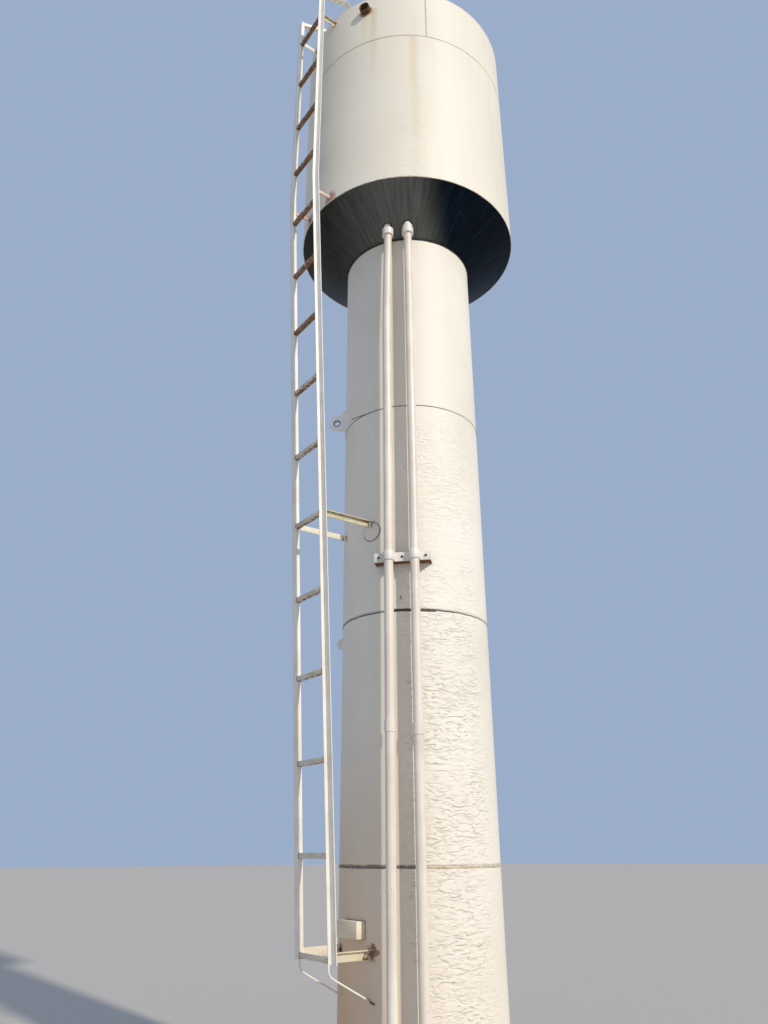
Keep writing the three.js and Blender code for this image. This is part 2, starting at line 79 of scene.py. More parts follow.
def aim_camera():
    """A camera at eye height, with its roll taken into its axes."""
    forward = HEADING * math.cos(PITCH) + Vector((0, 0, math.sin(PITCH)))
    right = forward.cross(Vector((0, 0, 1))).normalized()
    up = right.cross(forward)
    rolled_right = right * math.cos(ROLL) + up * math.sin(ROLL)
    rolled_up = up * math.cos(ROLL) - right * math.sin(ROLL)
    data = bpy.data.cameras.new("eye")
    data.sensor_fit = "AUTO"
    data.sensor_width = SENSOR
    data.lens = FOCAL_PIXELS / PICTURE_HEIGHT * SENSOR
    data.clip_end = 200
    camera = put("eye", data)
    axes = Matrix((rolled_right, rolled_up, -forward)).transposed()
    camera.matrix_world = Matrix.Translation(EYE) @ axes.to_4x4()
    scene.camera = camera
    return data.lens


print("lens in mm:", round(aim_camera(), 2))

# %% [markdown]
# ## Light and floor
#
# The real tower stands in low sun from its right. A warm key light from that side rakes over the paint,
# so that its wrinkles show, and a pale blue sky fills the shade. The floor is a wide pale disc. The plain
# Standard view keeps the hard contrast of the picture, which a softer view would flatten.

# %% Light and floor
KEY_AZIMUTH = math.radians(48)
KEY_ELEVATION = math.radians(30)
KEY_SOFTNESS = math.radians(2)
KEY_POWER = 2.7
SKY_POWER = 0.72
FLOOR_RADIUS = 90.0
FLOOR_DROP = 0.0005


def linear(hex_code):
    """An sRGB hex colour as the linear colour that a shader socket takes."""
    channels = [int(hex_code[i:i + 2], 16) / 255 for i in (1, 3, 5)]
    return [c / 12.92 if c <= 0.04045 else ((c + 0.055) / 1.055) ** 2.4 for c in channels] + [1.0]


def feed(tree, socket, value):
    """Gives a socket a value, or links it to the output that feeds it."""
    if isinstance(value, bpy.types.NodeSocket):
        tree.links.new(value, socket)
    else:
        socket.default_value = value


def add(tree, kind, *values, out=0, stops=(), more=None, **named):
    """Adds one node and returns one of its outputs. The values fill its sockets from the first one on.

    A name with a capital letter is a socket too, and any other name is a setting. more maps further
    sockets, and stops holds a ramp's positions and hex colours.
    """
    made = tree.nodes.new(kind if "Node" in kind else "ShaderNode" + kind)
    sockets = {**dict(enumerate(values)), **(more or {})}
    for name, value in named.items():
        if name[0].isupper():
            sockets[name.replace("_", " ")] = value
        else:
            setattr(made, name, value)
    for key, value in sockets.items():
        feed(tree, made.inputs[key], value)
    if stops:
        ramp = made.color_ramp
        while len(ramp.elements) < len(stops):
            ramp.elements.new(0.5)
        for element, (position, hex_code) in zip(ramp.elements, stops):
            element.position = position
            element.color = linear(hex_code)
    return made.outputs[out] if len(made.outputs) else made


def shade(material, **sockets):
    """Feeds the sockets of a material's shader, and returns the material."""
    tree = material.node_tree
    for name, value in sockets.items():
        feed(tree, tree.nodes["Principled BSDF"].inputs[name.replace("_", " ")], value)
    return material


def light_the_studio():
    """A low sun on the right, and a sky of one colour."""
    key_data = bpy.data.lights.new("key", "SUN")
    key_data.energy = KEY_POWER
    key_data.color = linear("#fff9f0")[:3]
    key_data.angle = KEY_SOFTNESS
    towards_light = Vector((
        math.sin(KEY_AZIMUTH) * math.cos(KEY_ELEVATION),
        -math.cos(KEY_AZIMUTH) * math.cos(KEY_ELEVATION),
        math.sin(KEY_ELEVATION),
    ))
    put("key", key_data).rotation_euler = towards_light.to_track_quat("Z", "Y").to_euler()
    world = bpy.data.worlds.new("studio")
    world.use_nodes = True
    world.node_tree.nodes.clear()
    sky = add(world.node_tree, "Background", linear("#b4c9e9"), SKY_POWER)
    add(world.node_tree, "OutputWorld", sky)
    scene.world = world


def meshed(shape, name):
    """Ends a bmesh as a mesh."""
    mesh = bpy.data.meshes.new(name)
    shape.to_mesh(mesh)
    shape.free()
    return mesh


def lay_floor():
    """A disc wide enough to reach the horizon, just under the tower."""
    shape = bmesh.new()
    bmesh.ops.create_circle(shape, cap_ends=True, radius=FLOOR_RADIUS, segments=96)
    mesh = meshed(shape, "floor")
    material = bpy.data.materials.new("pale_studio_floor")
    material.use_nodes = True
    mesh.materials.append(shade(material, Base_Color=linear("#c6bcb0"), Roughness=0.85))
    floor = put("floor", mesh)
    floor.location.z = -FLOOR_DROP


scene.view_settings.view_transform = "Standard"
light_the_studio()
lay_floor()
print("key light, degrees:", round(math.degrees(KEY_AZIMUTH)), round(math.degrees(KEY_ELEVATION)))

# %% [markdown]
# ## Tools for surfaces
#
# A water tower is mostly rolled plate, so most pieces are surfaces turned about an axis. Spin in the
# editor would make them too, but a loop over angles lets each plate wave a little, as rolled plate does.
# The ladder's bars and plates are straight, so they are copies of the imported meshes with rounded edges.
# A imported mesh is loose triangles, so its corners are merged before the bevel.

# %% Turned shells and softened bars
MM = 0.001
SHARP = math.radians(35)


def dress(name, mesh, material, replaced=()):
    """Turns a mesh into a finished piece that rides with the tower."""
    piece = put(name, mesh)
    if material.name not in mesh.materials:
        mesh.materials.append(material)
    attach(piece, "root")
    if replaced:
        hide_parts(*replaced)
    return piece


def smoothed(mesh):
    """Smooth shading, except over corners sharper than SHARP."""
    mesh.polygons.foreach_set("use_smooth", [True] * len(mesh.polygons))
    mesh.set_sharp_from_angle(angle=SHARP)
    return mesh


def turns(count, start=0.0):
    """Angles spread evenly round a circle. start is a share of one step."""
    return [2 * math.pi * (i + start) / count for i in range(count)]


def turned(profile, sides, wave=0.0, wave_size=0.45, centre=(0.0, 0.0), seed=0.0, bend=None):
    """A closed surface from a closed loop of (radius, height). wave is how far rolled plate strays."""
    shape = bmesh.new()
    columns = []
    for angle in turns(sides):
        column = []
        for radius, height in profile:
            x, y = radius * math.cos(angle), radius * math.sin(angle)
            if wave and radius:
                spot = Vector((x / wave_size + seed, y / wave_size, height / wave_size))
                grown = radius + wave * noise.noise(spot)
                x, y = grown * math.cos(angle), grown * math.sin(angle)
            shift = bend(height) if bend else 0.0
            column.append(shape.verts.new((x + centre[0] + shift, y + centre[1], height)))
        columns.append(column)
    for here, there in zip(columns, columns[1:] + columns[:1]):
        for j in range(len(profile)):
            k = (j + 1) % len(profile)
            if profile[j][0] or profile[k][0]:
                shape.faces.new((here[j], there[j], there[k], here[k]))
    bmesh.ops.remove_doubles(shape, verts=shape.verts, dist=1e-6)
    bmesh.ops.recalc_face_normals(shape, faces=shape.faces)
    return smoothed(meshed(shape, "turned"))


def wall_profile(outer, wall, bottom, top, rows, chamfer):
    """A pipe or course of plate: chamfered outside corners, and rows of points up the outside."""
    heights = [bottom + chamfer + (top - bottom - 2 * chamfer) * i / rows for i in range(rows + 1)]
    outside = [(outer - chamfer, bottom)] + [(outer, z) for z in heights] + [(outer - chamfer, top)]
    return [(outer - wall, bottom)] + outside + [(outer - wall, top)]


def softened(node, width):
    """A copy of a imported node's mesh with merged corners and rounded edges."""
    shape = bmesh.new()
    shape.from_mesh(nodes[node].data)
    bmesh.ops.remove_doubles(shape, verts=shape.verts, dist=2e-5)
    bmesh.ops.dissolve_limit(shape, angle_limit=math.radians(0.5), verts=shape.verts, edges=shape.edges)
    corners = [
        edge for edge in shape.edges
        if len(edge.link_faces) == 2 and edge.calc_face_angle(0.0) > SHARP
    ]
    bmesh.ops.bevel(
        shape, geom=corners, offset=width, segments=2, profile=0.5, affect="EDGES", clamp_overlap=True,
    )
    return smoothed(meshed(shape, node))


def applied(item):
    """An object's mesh with its modifiers applied. The object itself goes."""
    bpy.context.view_layer.update()
    evaluated = item.evaluated_get(bpy.context.evaluated_depsgraph_get())
    mesh = bpy.data.meshes.new_from_object(evaluated)
    bpy.data.objects.remove(item)
    return smoothed(mesh)


print("tools ready, corners sharper than", round(math.degrees(SHARP)), "degrees are rounded")

# %% [markdown]
# ## Tools for growing details
#
# Weld beads and bolts repeat, or follow a path, so Geometry Nodes grow them. Each tree has named inputs
# for its sizes. A seed keeps its random parts the same on every run. The grown result becomes a plain
# mesh, because an export keeps no instances.

# %% Geometry Nodes helpers
def geometry_tree(name, *sizes):
    """An empty tree that takes and gives geometry, with a named input for each size and for a material."""
    tree = bpy.data.node_groups.new(name, "GeometryNodeTree")
    tree.interface.new_socket("Geometry", in_out="OUTPUT", socket_type="NodeSocketGeometry")
    for label, kind in (("Geometry", "Geometry"), *sizes, ("Material", "Material")):
        tree.interface.new_socket(label, in_out="INPUT", socket_type="NodeSocket" + kind)
    entry = tree.nodes.new("NodeGroupInput")
    return tree, {socket.name: socket for socket in entry.outputs}


def close_tree(tree, geometry, material):
    """Ends a tree: instances made real, the material set, and the result handed out."""
    real = add(tree, "GeometryNodeRealizeInstances", geometry)
    painted = add(tree, "GeometryNodeSetMaterial", real, Material=material)
    add(tree, "NodeGroupOutput", painted)


def grow(name, tree, mesh, material, slot, **sizes):
    """Runs a tree on a mesh and keeps the result as a plain piece."""
    path = put(name + "_path", mesh)
    modifier = path.modifiers.new("grow", "NODES")
    modifier.node_group = tree
    sizes["Material"] = material
    for item in tree.interface.items_tree:
        size = item.name.replace(" ", "_")
        if item.in_out == "INPUT" and size in sizes:
            modifier[item.identifier] = sizes[size]
    grown = applied(path)
    grown.name = name
    return dress(name, grown, material)


def path_mesh(paths):
    """Lines through lists of points. A path whose last point is its first is closed."""
    points, edges = [], []
    for path in paths:
        closed = (Vector(path[0]) - Vector(path[-1])).length < 1e-6
        run = path[:-1] if closed else path
        first = len(points)
        points += [tuple(p) for p in run]
        edges += [(first + i, first + i + 1) for i in range(len(run) - 1)]
        if closed:
            edges.append((first + len(run) - 1, first))
    mesh = bpy.data.meshes.new("path")
    mesh.from_pydata(points, edges, [])
    return mesh


def on_circle(radius, turn, height):
    """The place at an azimuth in radians. The front is 0, and it grows to the right."""
    return (radius * math.sin(turn), -radius * math.cos(turn), height)


def girth(radius, height, start=0.0, end=360.0, steps=180):
    """Points round the tower at a height, from one azimuth to another, in degrees."""
    azimuths = [start + (end - start) * i / steps for i in range(steps + 1)]
    return [on_circle(radius, math.radians(azimuth), height) for azimuth in azimuths]


def upright(radius, azimuth, bottom, top, steps=40):
    """Points up a wall at one azimuth, in degrees."""
    rise = (top - bottom) / steps
    return [on_circle(radius, math.radians(azimuth), bottom + rise * i) for i in range(steps + 1)]


def build_bead_tree():
    """A weld bead: a thin tube along a path, which wanders and swells as a welder's hand does."""
    tree, size = geometry_tree("weld_bead", ("Bead Radius", "Float"), ("Wander", "Float"),
                               ("Swell", "Float"), ("Spacing", "Float"), ("Seed", "Float"))
    curve = add(tree, "GeometryNodeMeshToCurve", size["Geometry"])
    dotted = add(tree, "GeometryNodeResampleCurve", curve, Length=size["Spacing"], mode="LENGTH")
    place = add(tree, "GeometryNodeInputPosition")
    seeded = dict(W=size["Seed"], noise_dimensions="4D")
    drift = add(tree, "TexNoise", place, Scale=9.0, Detail=3.0, out="Color", **seeded)
    centred = add(tree, "VectorMath", drift, (0.5, 0.5, 0.5), operation="SUBTRACT")
    taller = add(tree, "VectorMath", centred, (0.6, 0.6, 3.0), operation="MULTIPLY")
    wander = add(tree, "VectorMath", taller, Scale=size["Wander"], operation="SCALE")
    moved = add(tree, "GeometryNodeSetPosition", dotted, Offset=wander)
    grain = add(tree, "TexNoise", place, Scale=45.0, Detail=2.0, **seeded)
    uneven = add(tree, "Math", grain, 0.5, operation="SUBTRACT")
    swell = add(tree, "Math", uneven, size["Swell"], operation="MULTIPLY")
    full = add(tree, "Math", swell, 1.0, operation="ADD")
    radius = add(tree, "Math", full, size["Bead Radius"], operation="MULTIPLY")
    fat = add(tree, "GeometryNodeSetCurveRadius", moved, Radius=radius)
    section = add(tree, "GeometryNodeCurvePrimitiveCircle", Resolution=8, Radius=1.0)
    tube = add(tree, "GeometryNodeCurveToMesh", fat, section, Fill_Caps=True, Scale=radius)
    close_tree(tree, tube, size["Material"])
    return tree


bead_tree = build_bead_tree()
print("weld bead tree:", len(bead_tree.nodes), "nodes")

# %% [markdown]
# ## Paint on the column: thick rolled enamel
#
# The column is sprayed and then rolled with alkyd enamel. The coat on the sunny front went on too thick,
# so it shrank into a skin of worm-like wrinkles. A noise with cells of about 83 mm by 28 mm has level
# lines of just that form, and gaps break them into strokes. The grooves are tinted darker, with dirt and with
# painted shade, and rust weeps from the seams that stand 1.5 m apart.

# %% Column enamel
SEAM_PITCH = 1.5
COLUMN_RADIUS = 0.5
WRINKLES = (12.0, 12.0, 36.0)
PAD_HEIGHT = 3.573
PAD_CENTRE = (-0.221, -0.449, PAD_HEIGHT)
PAD_RADIUS = 0.064
SOFT = dict(interpolation_type="SMOOTHSTEP")
# Where the ladder's lowest arms are welded to the column: place, core and reach in metres
FOOT_BURNS = [((-0.213, -0.452, 1.068), 0.012, 0.075), ((-0.440, -0.237, 1.060), 0.010, 0.055)]


def surface(name):
    """A new material, with its tree and a place on the piece."""
    material = bpy.data.materials.new(name)
    material.use_nodes = True
    return material, material.node_tree, add(material.node_tree, "TexCoord", out="Object")


def measures(tree, place):
    """A place's x, its height and its azimuth, which is 0 in front and grows to the right."""
    x, y, height = add(tree, "SeparateXYZ", place).node.outputs
    back = add(tree, "Math", y, -1.0, operation="MULTIPLY")
    return x, height, add(tree, "Math", x, back, operation="ARCTAN2")


def apart(tree, value, centre):
    """How far a value is from a centre, on either side of it."""
    off = add(tree, "Math", value, centre, operation="SUBTRACT")
    return add(tree, "Math", off, operation="ABSOLUTE")


def product(tree, share, *others):
    """Several shares multiplied."""
    for other in others:
        share = add(tree, "Math", share, other, operation="MULTIPLY")
    return share


def halo(tree, place, centre, core, reach):
    """1 close to a point, fading to 0 further out."""
    away = add(tree, "VectorMath", place, centre, out="Value", operation="DISTANCE")
    return add(tree, "MapRange", away, core, reach, 1.0, 0.0, **SOFT)


def streaks(tree, place, cells, **settings):
    """A noise with its own number of cells in a metre along each axis."""
    stretched = add(tree, "Mapping", place, Scale=cells)
    return add(tree, "TexNoise", stretched, Scale=1.0, **settings)


def tinted(tree, colour, tint, *shares):
    """A colour that goes over to a tint where the product of the shares is 1."""
    goal = linear(tint) if isinstance(tint, str) else tint
    return add(tree, "Mix", product(tree, *shares), more={6: colour, 7: goal}, out=2, data_type="RGBA")


def column_enamel():
    """Alkyd enamel rolled on thick: cream, half gloss, wrinkled where the sun shrank it."""
    material, tree, place = surface("rolled_cream_enamel")
    x, height, azimuth = measures(tree, place)
    cloud = add(tree, "TexNoise", place, Scale=1.6, Detail=4.0)
    tone = add(tree, "ValToRGB", cloud, stops=[(0.32, "#ebe2d0"), (0.68, "#f4ecdd")])
    # Wrinkles: the level lines of a stretched noise, broken into strokes
    stretched = add(tree, "Mapping", place, Scale=WRINKLES)
    skin = add(tree, "TexNoise", stretched, Scale=1.0, Detail=0.2, Roughness=0.4, Distortion=0.8)
    level = add(tree, "MapRange", apart(tree, skin, 0.5), 0.0, 0.21, 1.0, 0.0, **SOFT)
    gaps = add(tree, "TexNoise", stretched, Scale=1.3, Detail=0.5)
    broken = add(tree, "MapRange", gaps, 0.34, 0.56, 0.15, 1.0)
    # They lie in patches on the sunny front, fewer above 3 m and hardly any above 4.5 m
    from_left = add(tree, "MapRange", azimuth, math.radians(-4), math.radians(5), 0.1, 1.0)
    to_right = add(tree, "MapRange", azimuth, math.radians(54), math.radians(74), 1.0, 0.1)
    low = add(tree, "MapRange", height, 4.35, 4.5, 1.0, 0.05)
    lowest = add(tree, "MapRange", height, 2.95, 3.05, 1.0, 0.55)
    patch = add(tree, "TexNoise", place, Scale=3.1, Detail=2.0)
    patchy = add(tree, "MapRange", patch, 0.36, 0.6, 0.35, 1.0)
    amount = product(tree, from_left, to_right, low, lowest, patchy)
    wrinkle = product(tree, level, broken, amount)
    # The grooves are tinted darker: dirt, and painted shade where the sun rakes across them
    specks = add(tree, "TexNoise", stretched, Scale=0.9, Detail=2.0)
    groove_dirt_and_shade = add(tree, "MapRange", specks, 0.42, 0.68, 0.1, 0.36)
    colour = tinted(tree, tone, "#b0ad99", wrinkle, groove_dirt_and_shade)
    # Pits about 10 mm long that have filled with dirt
    pits = add(tree, "TexNoise", stretched, Scale=3.1, Detail=0.0)
    pit = add(tree, "MapRange", pits, 0.7, 0.8, 0.0, 0.5)
    colour = tinted(tree, colour, "#7f776a", pit, amount)
    # A line of dirt 8 mm above each seam, where the bead holds it, less of it higher up and to the right. Its
    # extra darkness on the shaded left is painted shade
    lowered = add(tree, "Math", height, -0.008, operation="ADD")
    from_seam = add(tree, "Math", lowered, SEAM_PITCH / 2, operation="PINGPONG")
    blot = add(tree, "TexNoise", place, Scale=17.0, Detail=3.0)
    ragged = add(tree, "Math", blot, -0.016, from_seam, operation="MULTIPLY_ADD")
    line = add(tree, "MapRange", ragged, -0.006, 0.002, 0.85, 0.0)
    dirtier = add(tree, "MapRange", height, 2.0, 4.2, 1.0, 0.15)
    washed = add(tree, "MapRange", x, -0.04, 0.14, 1.0, 0.5)
    colour = tinted(tree, colour, "#6b5a49", line, dirtier, washed)
    # Runs of rust below a seam, about 15 mm wide and up to 0.4 m long
    within = add(tree, "Math", height, SEAM_PITCH, operation="MODULO")
    below = add(tree, "Math", SEAM_PITCH, within, operation="SUBTRACT")
    fading = add(tree, "MapRange", below, 0.0, 0.42, 0.1, 0.0)
    runs = streaks(tree, place, (22.0, 22.0, 0.9), Detail=3.0)
    run = add(tree, "MapRange", runs, 0.56, 0.72, 0.0, 1.0)
    colour = tinted(tree, colour, "#b08763", run, fading)
    # Dust, and painted warm bounce light from the ground, up to 2.4 m, most of it on the shaded left
    dust_and_bounce_low = add(tree, "MapRange", height, 0.4, 2.4, 0.85, 0.0)
    dust_and_bounce_left = add(tree, "MapRange", x, -0.42, 0.0, 1.0, 0.1)
    colour = tinted(tree, colour, "#dba564", dust_and_bounce_low, dust_and_bounce_left)
    # Soil splashed on the lowest 0.3 m, and brown water marks just under the cone
    splash = add(tree, "Math", blot, 0.2, height, operation="MULTIPLY_ADD")
    soil = add(tree, "MapRange", splash, 0.12, 0.4, 0.66, 0.0)
    colour = tinted(tree, colour, "#9b7d5d", soil)
    brink = add(tree, "Math", blot, 0.02, height, operation="MULTIPLY_ADD")
    rim = add(tree, "MapRange", brink, 5.995, 6.006, 0.0, 0.8)
    colour = tinted(tree, colour, "#4a3325", rim)
    # Rust round the welds of the ladder's lowest arms
    crumbs = add(tree, "TexNoise", place, Scale=34.0, Detail=4.0)
    for burn in FOOT_BURNS:
        torn = add(tree, "Math", crumbs, 2.0, halo(tree, place, *burn), operation="MULTIPLY_ADD")
        rust = add(tree, "MapRange", torn, 1.5, 1.85, 0.0, 0.85)
        colour = tinted(tree, colour, "#8f6447", rust)
    # The pad under the middle arm has a weld round it that shows as a thin dark ring
    off_pad = add(tree, "VectorMath", place, PAD_CENTRE, out="Value", operation="DISTANCE")
    ring = add(tree, "MapRange", apart(tree, off_pad, PAD_RADIUS), 0.003, 0.008, 0.5, 0.0)
    colour = tinted(tree, colour, "#6d665c", ring)
    gloss = add(tree, "MapRange", cloud, 0.3, 0.7, 0.52, 0.66)
    # Roller stipple, 4 mm, under the wrinkles
    stipple = add(tree, "TexNoise", place, Scale=240.0, Detail=2.0)
    fine = add(tree, "Bump", Strength=0.25, Distance=0.0006, Height=stipple)
    coarse = add(tree, "Bump", Strength=0.9, Distance=0.005, Height=wrinkle, Normal=fine, invert=True)
    return shade(material, Base_Color=colour, Roughness=gloss, Normal=coarse)


column_paint = column_enamel()
print(column_paint.name, "has", len(column_paint.node_tree.nodes), "nodes")

# %% [markdown]
# ## Paint on the tank: sprayed enamel
#
# The tank was sprayed, so it is smoother than the column. Brush touch-ups left short level marks beside a
# yellow stain, which runs down by the plate's vertical weld. The paint is pale, with broad upright streaks
# where rain has washed it.

# %% Tank enamel
TANK_SEAM = 7.804
UPPER_MIDDLE = 8.074
TANK_WELD_TURN = math.radians(20.6)
# Azimuth and half width in degrees, strength, and the heights between which a stain runs
STAINS = [(13.2, 2.2, 0.5, 5.6, 7.79), (-8.6, 2.4, 0.7, 7.3, 8.2), (-13.5, 1.6, 0.4, 7.6, 8.12)]
# Where the rim arms and the spout are welded to the tank: place, core and reach in metres
RIM_BURNS = [((-0.504, -0.728, 6.30), 0.02, 0.09), ((-0.723, -0.511, 6.30), 0.02, 0.09),
             ((-0.196, -0.863, 8.185), 0.044, 0.075)]


def tank_enamel():
    """Sprayed alkyd enamel: cream, half gloss, washed by rain into upright streaks."""
    material, tree, place = surface("sprayed_cream_enamel")
    _, height, azimuth = measures(tree, place)
    cloud = add(tree, "TexNoise", place, Scale=1.1, Detail=4.0)
    tone = add(tree, "ValToRGB", cloud, stops=[(0.3, "#ebe1cc"), (0.7, "#f4ebd8")])
    washed = streaks(tree, place, (15.0, 15.0, 0.45), Detail=4.0)
    wash = add(tree, "MapRange", washed, 0.5, 0.72, 0.0, 0.1)
    colour = tinted(tree, tone, "#cdbf9f", wash)
    # The yellow stain below the seam, and two more to the left of it
    for turn, width, strength, bottom, top in STAINS:
        beside = apart(tree, azimuth, math.radians(turn))
        wavy = add(tree, "Math", washed, -0.04, beside, operation="MULTIPLY_ADD")
        strip = add(tree, "MapRange", wavy, -0.02, math.radians(width), strength, 0.0)
        growing = add(tree, "MapRange", height, bottom, top, 0.0, 1.0)
        under = add(tree, "Math", height, top, operation="LESS_THAN")
        colour = tinted(tree, colour, "#dcc48f", strip, growing, under)
    # Dirt 10 mm to each side of the seam between the courses, and of the upper course's weld
    beside_seam = apart(tree, height, TANK_SEAM)
    beside_weld = apart(tree, azimuth, TANK_WELD_TURN)
    off_middle = add(tree, "Math", height, UPPER_MIDDLE, operation="SUBTRACT")
    on_upper = add(tree, "Math", off_middle, 0.0, UPPER_MIDDLE - TANK_SEAM, operation="COMPARE")
    elsewhere = add(tree, "Math", 1.0, on_upper, operation="SUBTRACT")
    weld_line = add(tree, "Math", beside_weld, 0.9, elsewhere, operation="MULTIPLY_ADD")
    nearest = add(tree, "Math", beside_seam, weld_line, operation="MINIMUM")
    dirty = add(tree, "MapRange", nearest, 0.003, 0.010, 0.55, 0.0)
    colour = tinted(tree, colour, "#a19c86", dirty)
    # Rust round those welds, and chips along the rim over the cone
    blot = add(tree, "TexNoise", place, Scale=21.0, Detail=3.0)
    for burn in RIM_BURNS:
        torn = product(tree, halo(tree, place, *burn), blot)
        rust = add(tree, "MapRange", torn, 0.1, 0.45, 0.0, 0.8)
        colour = tinted(tree, colour, "#a9795c", rust)
    ragged = add(tree, "Math", blot, -0.016, height, operation="MULTIPLY_ADD")
    chips = add(tree, "MapRange", ragged, 6.2535, 6.2555, 0.85, 0.0)
    colour = tinted(tree, colour, "#6d5645", chips)
    gloss = add(tree, "MapRange", cloud, 0.3, 0.7, 0.46, 0.58)
    # Brush marks 80 mm by 16 mm, beside the stain
    marks = streaks(tree, place, (12.0, 12.0, 60.0), Detail=1.0)
    mark = add(tree, "MapRange", marks, 0.5, 0.68, 0.0, 1.0, **SOFT)
    beside_stain = apart(tree, azimuth, math.radians(11))
    middle = add(tree, "MapRange", beside_stain, 0.06, 0.22, 1.0, 0.1)
    lower = add(tree, "MapRange", height, 7.35, 7.6, 1.0, 0.1)
    brushed = product(tree, mark, middle, lower)
    orange_peel = add(tree, "TexNoise", place, Scale=150.0, Detail=2.0)
    fine = add(tree, "Bump", Strength=0.2, Distance=0.0005, Height=orange_peel)
    coarse = add(tree, "Bump", Strength=0.9, Distance=0.0016, Height=brushed, Normal=fine)
    return shade(material, Base_Color=colour, Roughness=gloss, Normal=coarse)


tank_paint = tank_enamel()
print(tank_paint.name, "has", len(tank_paint.node_tree.nodes), "nodes")

# %% [markdown]
# ## Coat under the cone: bitumen
#
# The cone is coated with black bitumen, brushed outwards from the column. It dries to a half gloss with
# ridges along the brush, so it mirrors the pale ground in streaks. The streaks run along the cone's slope:
# noise over the angle alone does that. A lighter grey in the middle is painted light, and on the right a
# cold, bluish tone is a painted reflection of the blue sky.

# %% Bitumen
def bitumen_coat():
    """Brushed bitumen: near black, half gloss, with brush ridges that run outwards."""
    material, tree, place = surface("brushed_bitumen")
    x, _, azimuth = measures(tree, place)
    flat = add(tree, "VectorMath", place, (1.0, 1.0, 0.0), operation="MULTIPLY")
    reach = add(tree, "VectorMath", flat, out="Value", operation="LENGTH")
    unrolled = add(tree, "CombineXYZ", azimuth, reach)
    strokes = streaks(tree, unrolled, (26.0, 3.2, 1.0), Detail=5.0, Roughness=0.6, Distortion=0.25)
    worn = add(tree, "ValToRGB", strokes, stops=[(0.34, "#2a2a28"), (0.68, "#3a3b37")])
    lit = add(tree, "ValToRGB", strokes, stops=[(0.34, "#5e605b"), (0.66, "#7a7c75")])
    painted_sky_reflection = add(tree, "ValToRGB", strokes, stops=[(0.42, "#010a14"), (0.6, "#031a2d"), (0.74, "#0f3a4c")])
    # Painted light: lighter grey towards the middle, and a painted reflection of the blue sky on the right
    middle = add(tree, "MapRange", x, -0.55, -0.1, 0.0, 0.85)
    right = add(tree, "MapRange", x, 0.16, 0.42, 0.0, 1.0, **SOFT)
    colour = tinted(tree, tinted(tree, worn, lit, middle), painted_sky_reflection, right)
    # Rust seeps from the joint with the column, and old patches have gone brown
    blot = add(tree, "TexNoise", place, Scale=14.0, Detail=4.0)
    ragged = add(tree, "Math", blot, -0.03, reach, operation="MULTIPLY_ADD")
    seep = add(tree, "MapRange", ragged, 0.486, 0.5, 0.6, 0.0)
    colour = tinted(tree, colour, "#3d2e25", seep)
    patch = add(tree, "MapRange", blot, 0.6, 0.75, 0.0, 0.14)
    colour = tinted(tree, colour, "#4a4039", patch)
    # A pale smudge is painted on the bitumen above the left riser's coupling
    pale_smudge = halo(tree, place, (-0.073, -0.618, 6.09), 0.008, 0.04)
    colour = tinted(tree, colour, "#77756c", pale_smudge, 0.6)
    gloss = add(tree, "MapRange", strokes, 0.3, 0.7, 0.4, 0.56)
    ridges = add(tree, "Bump", Strength=0.3, Distance=0.002, Height=strokes)
    return shade(material, Base_Color=colour, Specular_IOR_Level=0.1, Roughness=gloss, Normal=ridges)


bitumen = bitumen_coat()
print(bitumen.name, "has", len(bitumen.node_tree.nodes), "nodes")

# %% [markdown]
# ## Ladder paint, pipe paint and bare steel
#
# The ladder got one brushed coat over mill scale, and the sun, rain and boots have taken much of it: the
# rungs beside the tank have gone brown, and every weld has bled. The pipes have a smooth ivory coat. The
# angle behind the clamp was never painted again, so it is brown with rust.

# %% Ladder enamel
LADDER_TURN = math.radians(44.7)
ACROSS = Vector((math.cos(LADDER_TURN), -math.sin(LADDER_TURN), 0))
OUTWARD = Vector((-math.sin(LADDER_TURN), -math.cos(LADDER_TURN), 0))
RAIL_DISTANCE = 1.02
RAIL_BACK = 0.0165
RAIL_KINK = 6.455
RAIL_LEAN = 0.0517
TOP_RUNG = 8.25
RUNG_STEP = 0.5143
CREAM = ("#f8f2e6", "#ebe3d3")


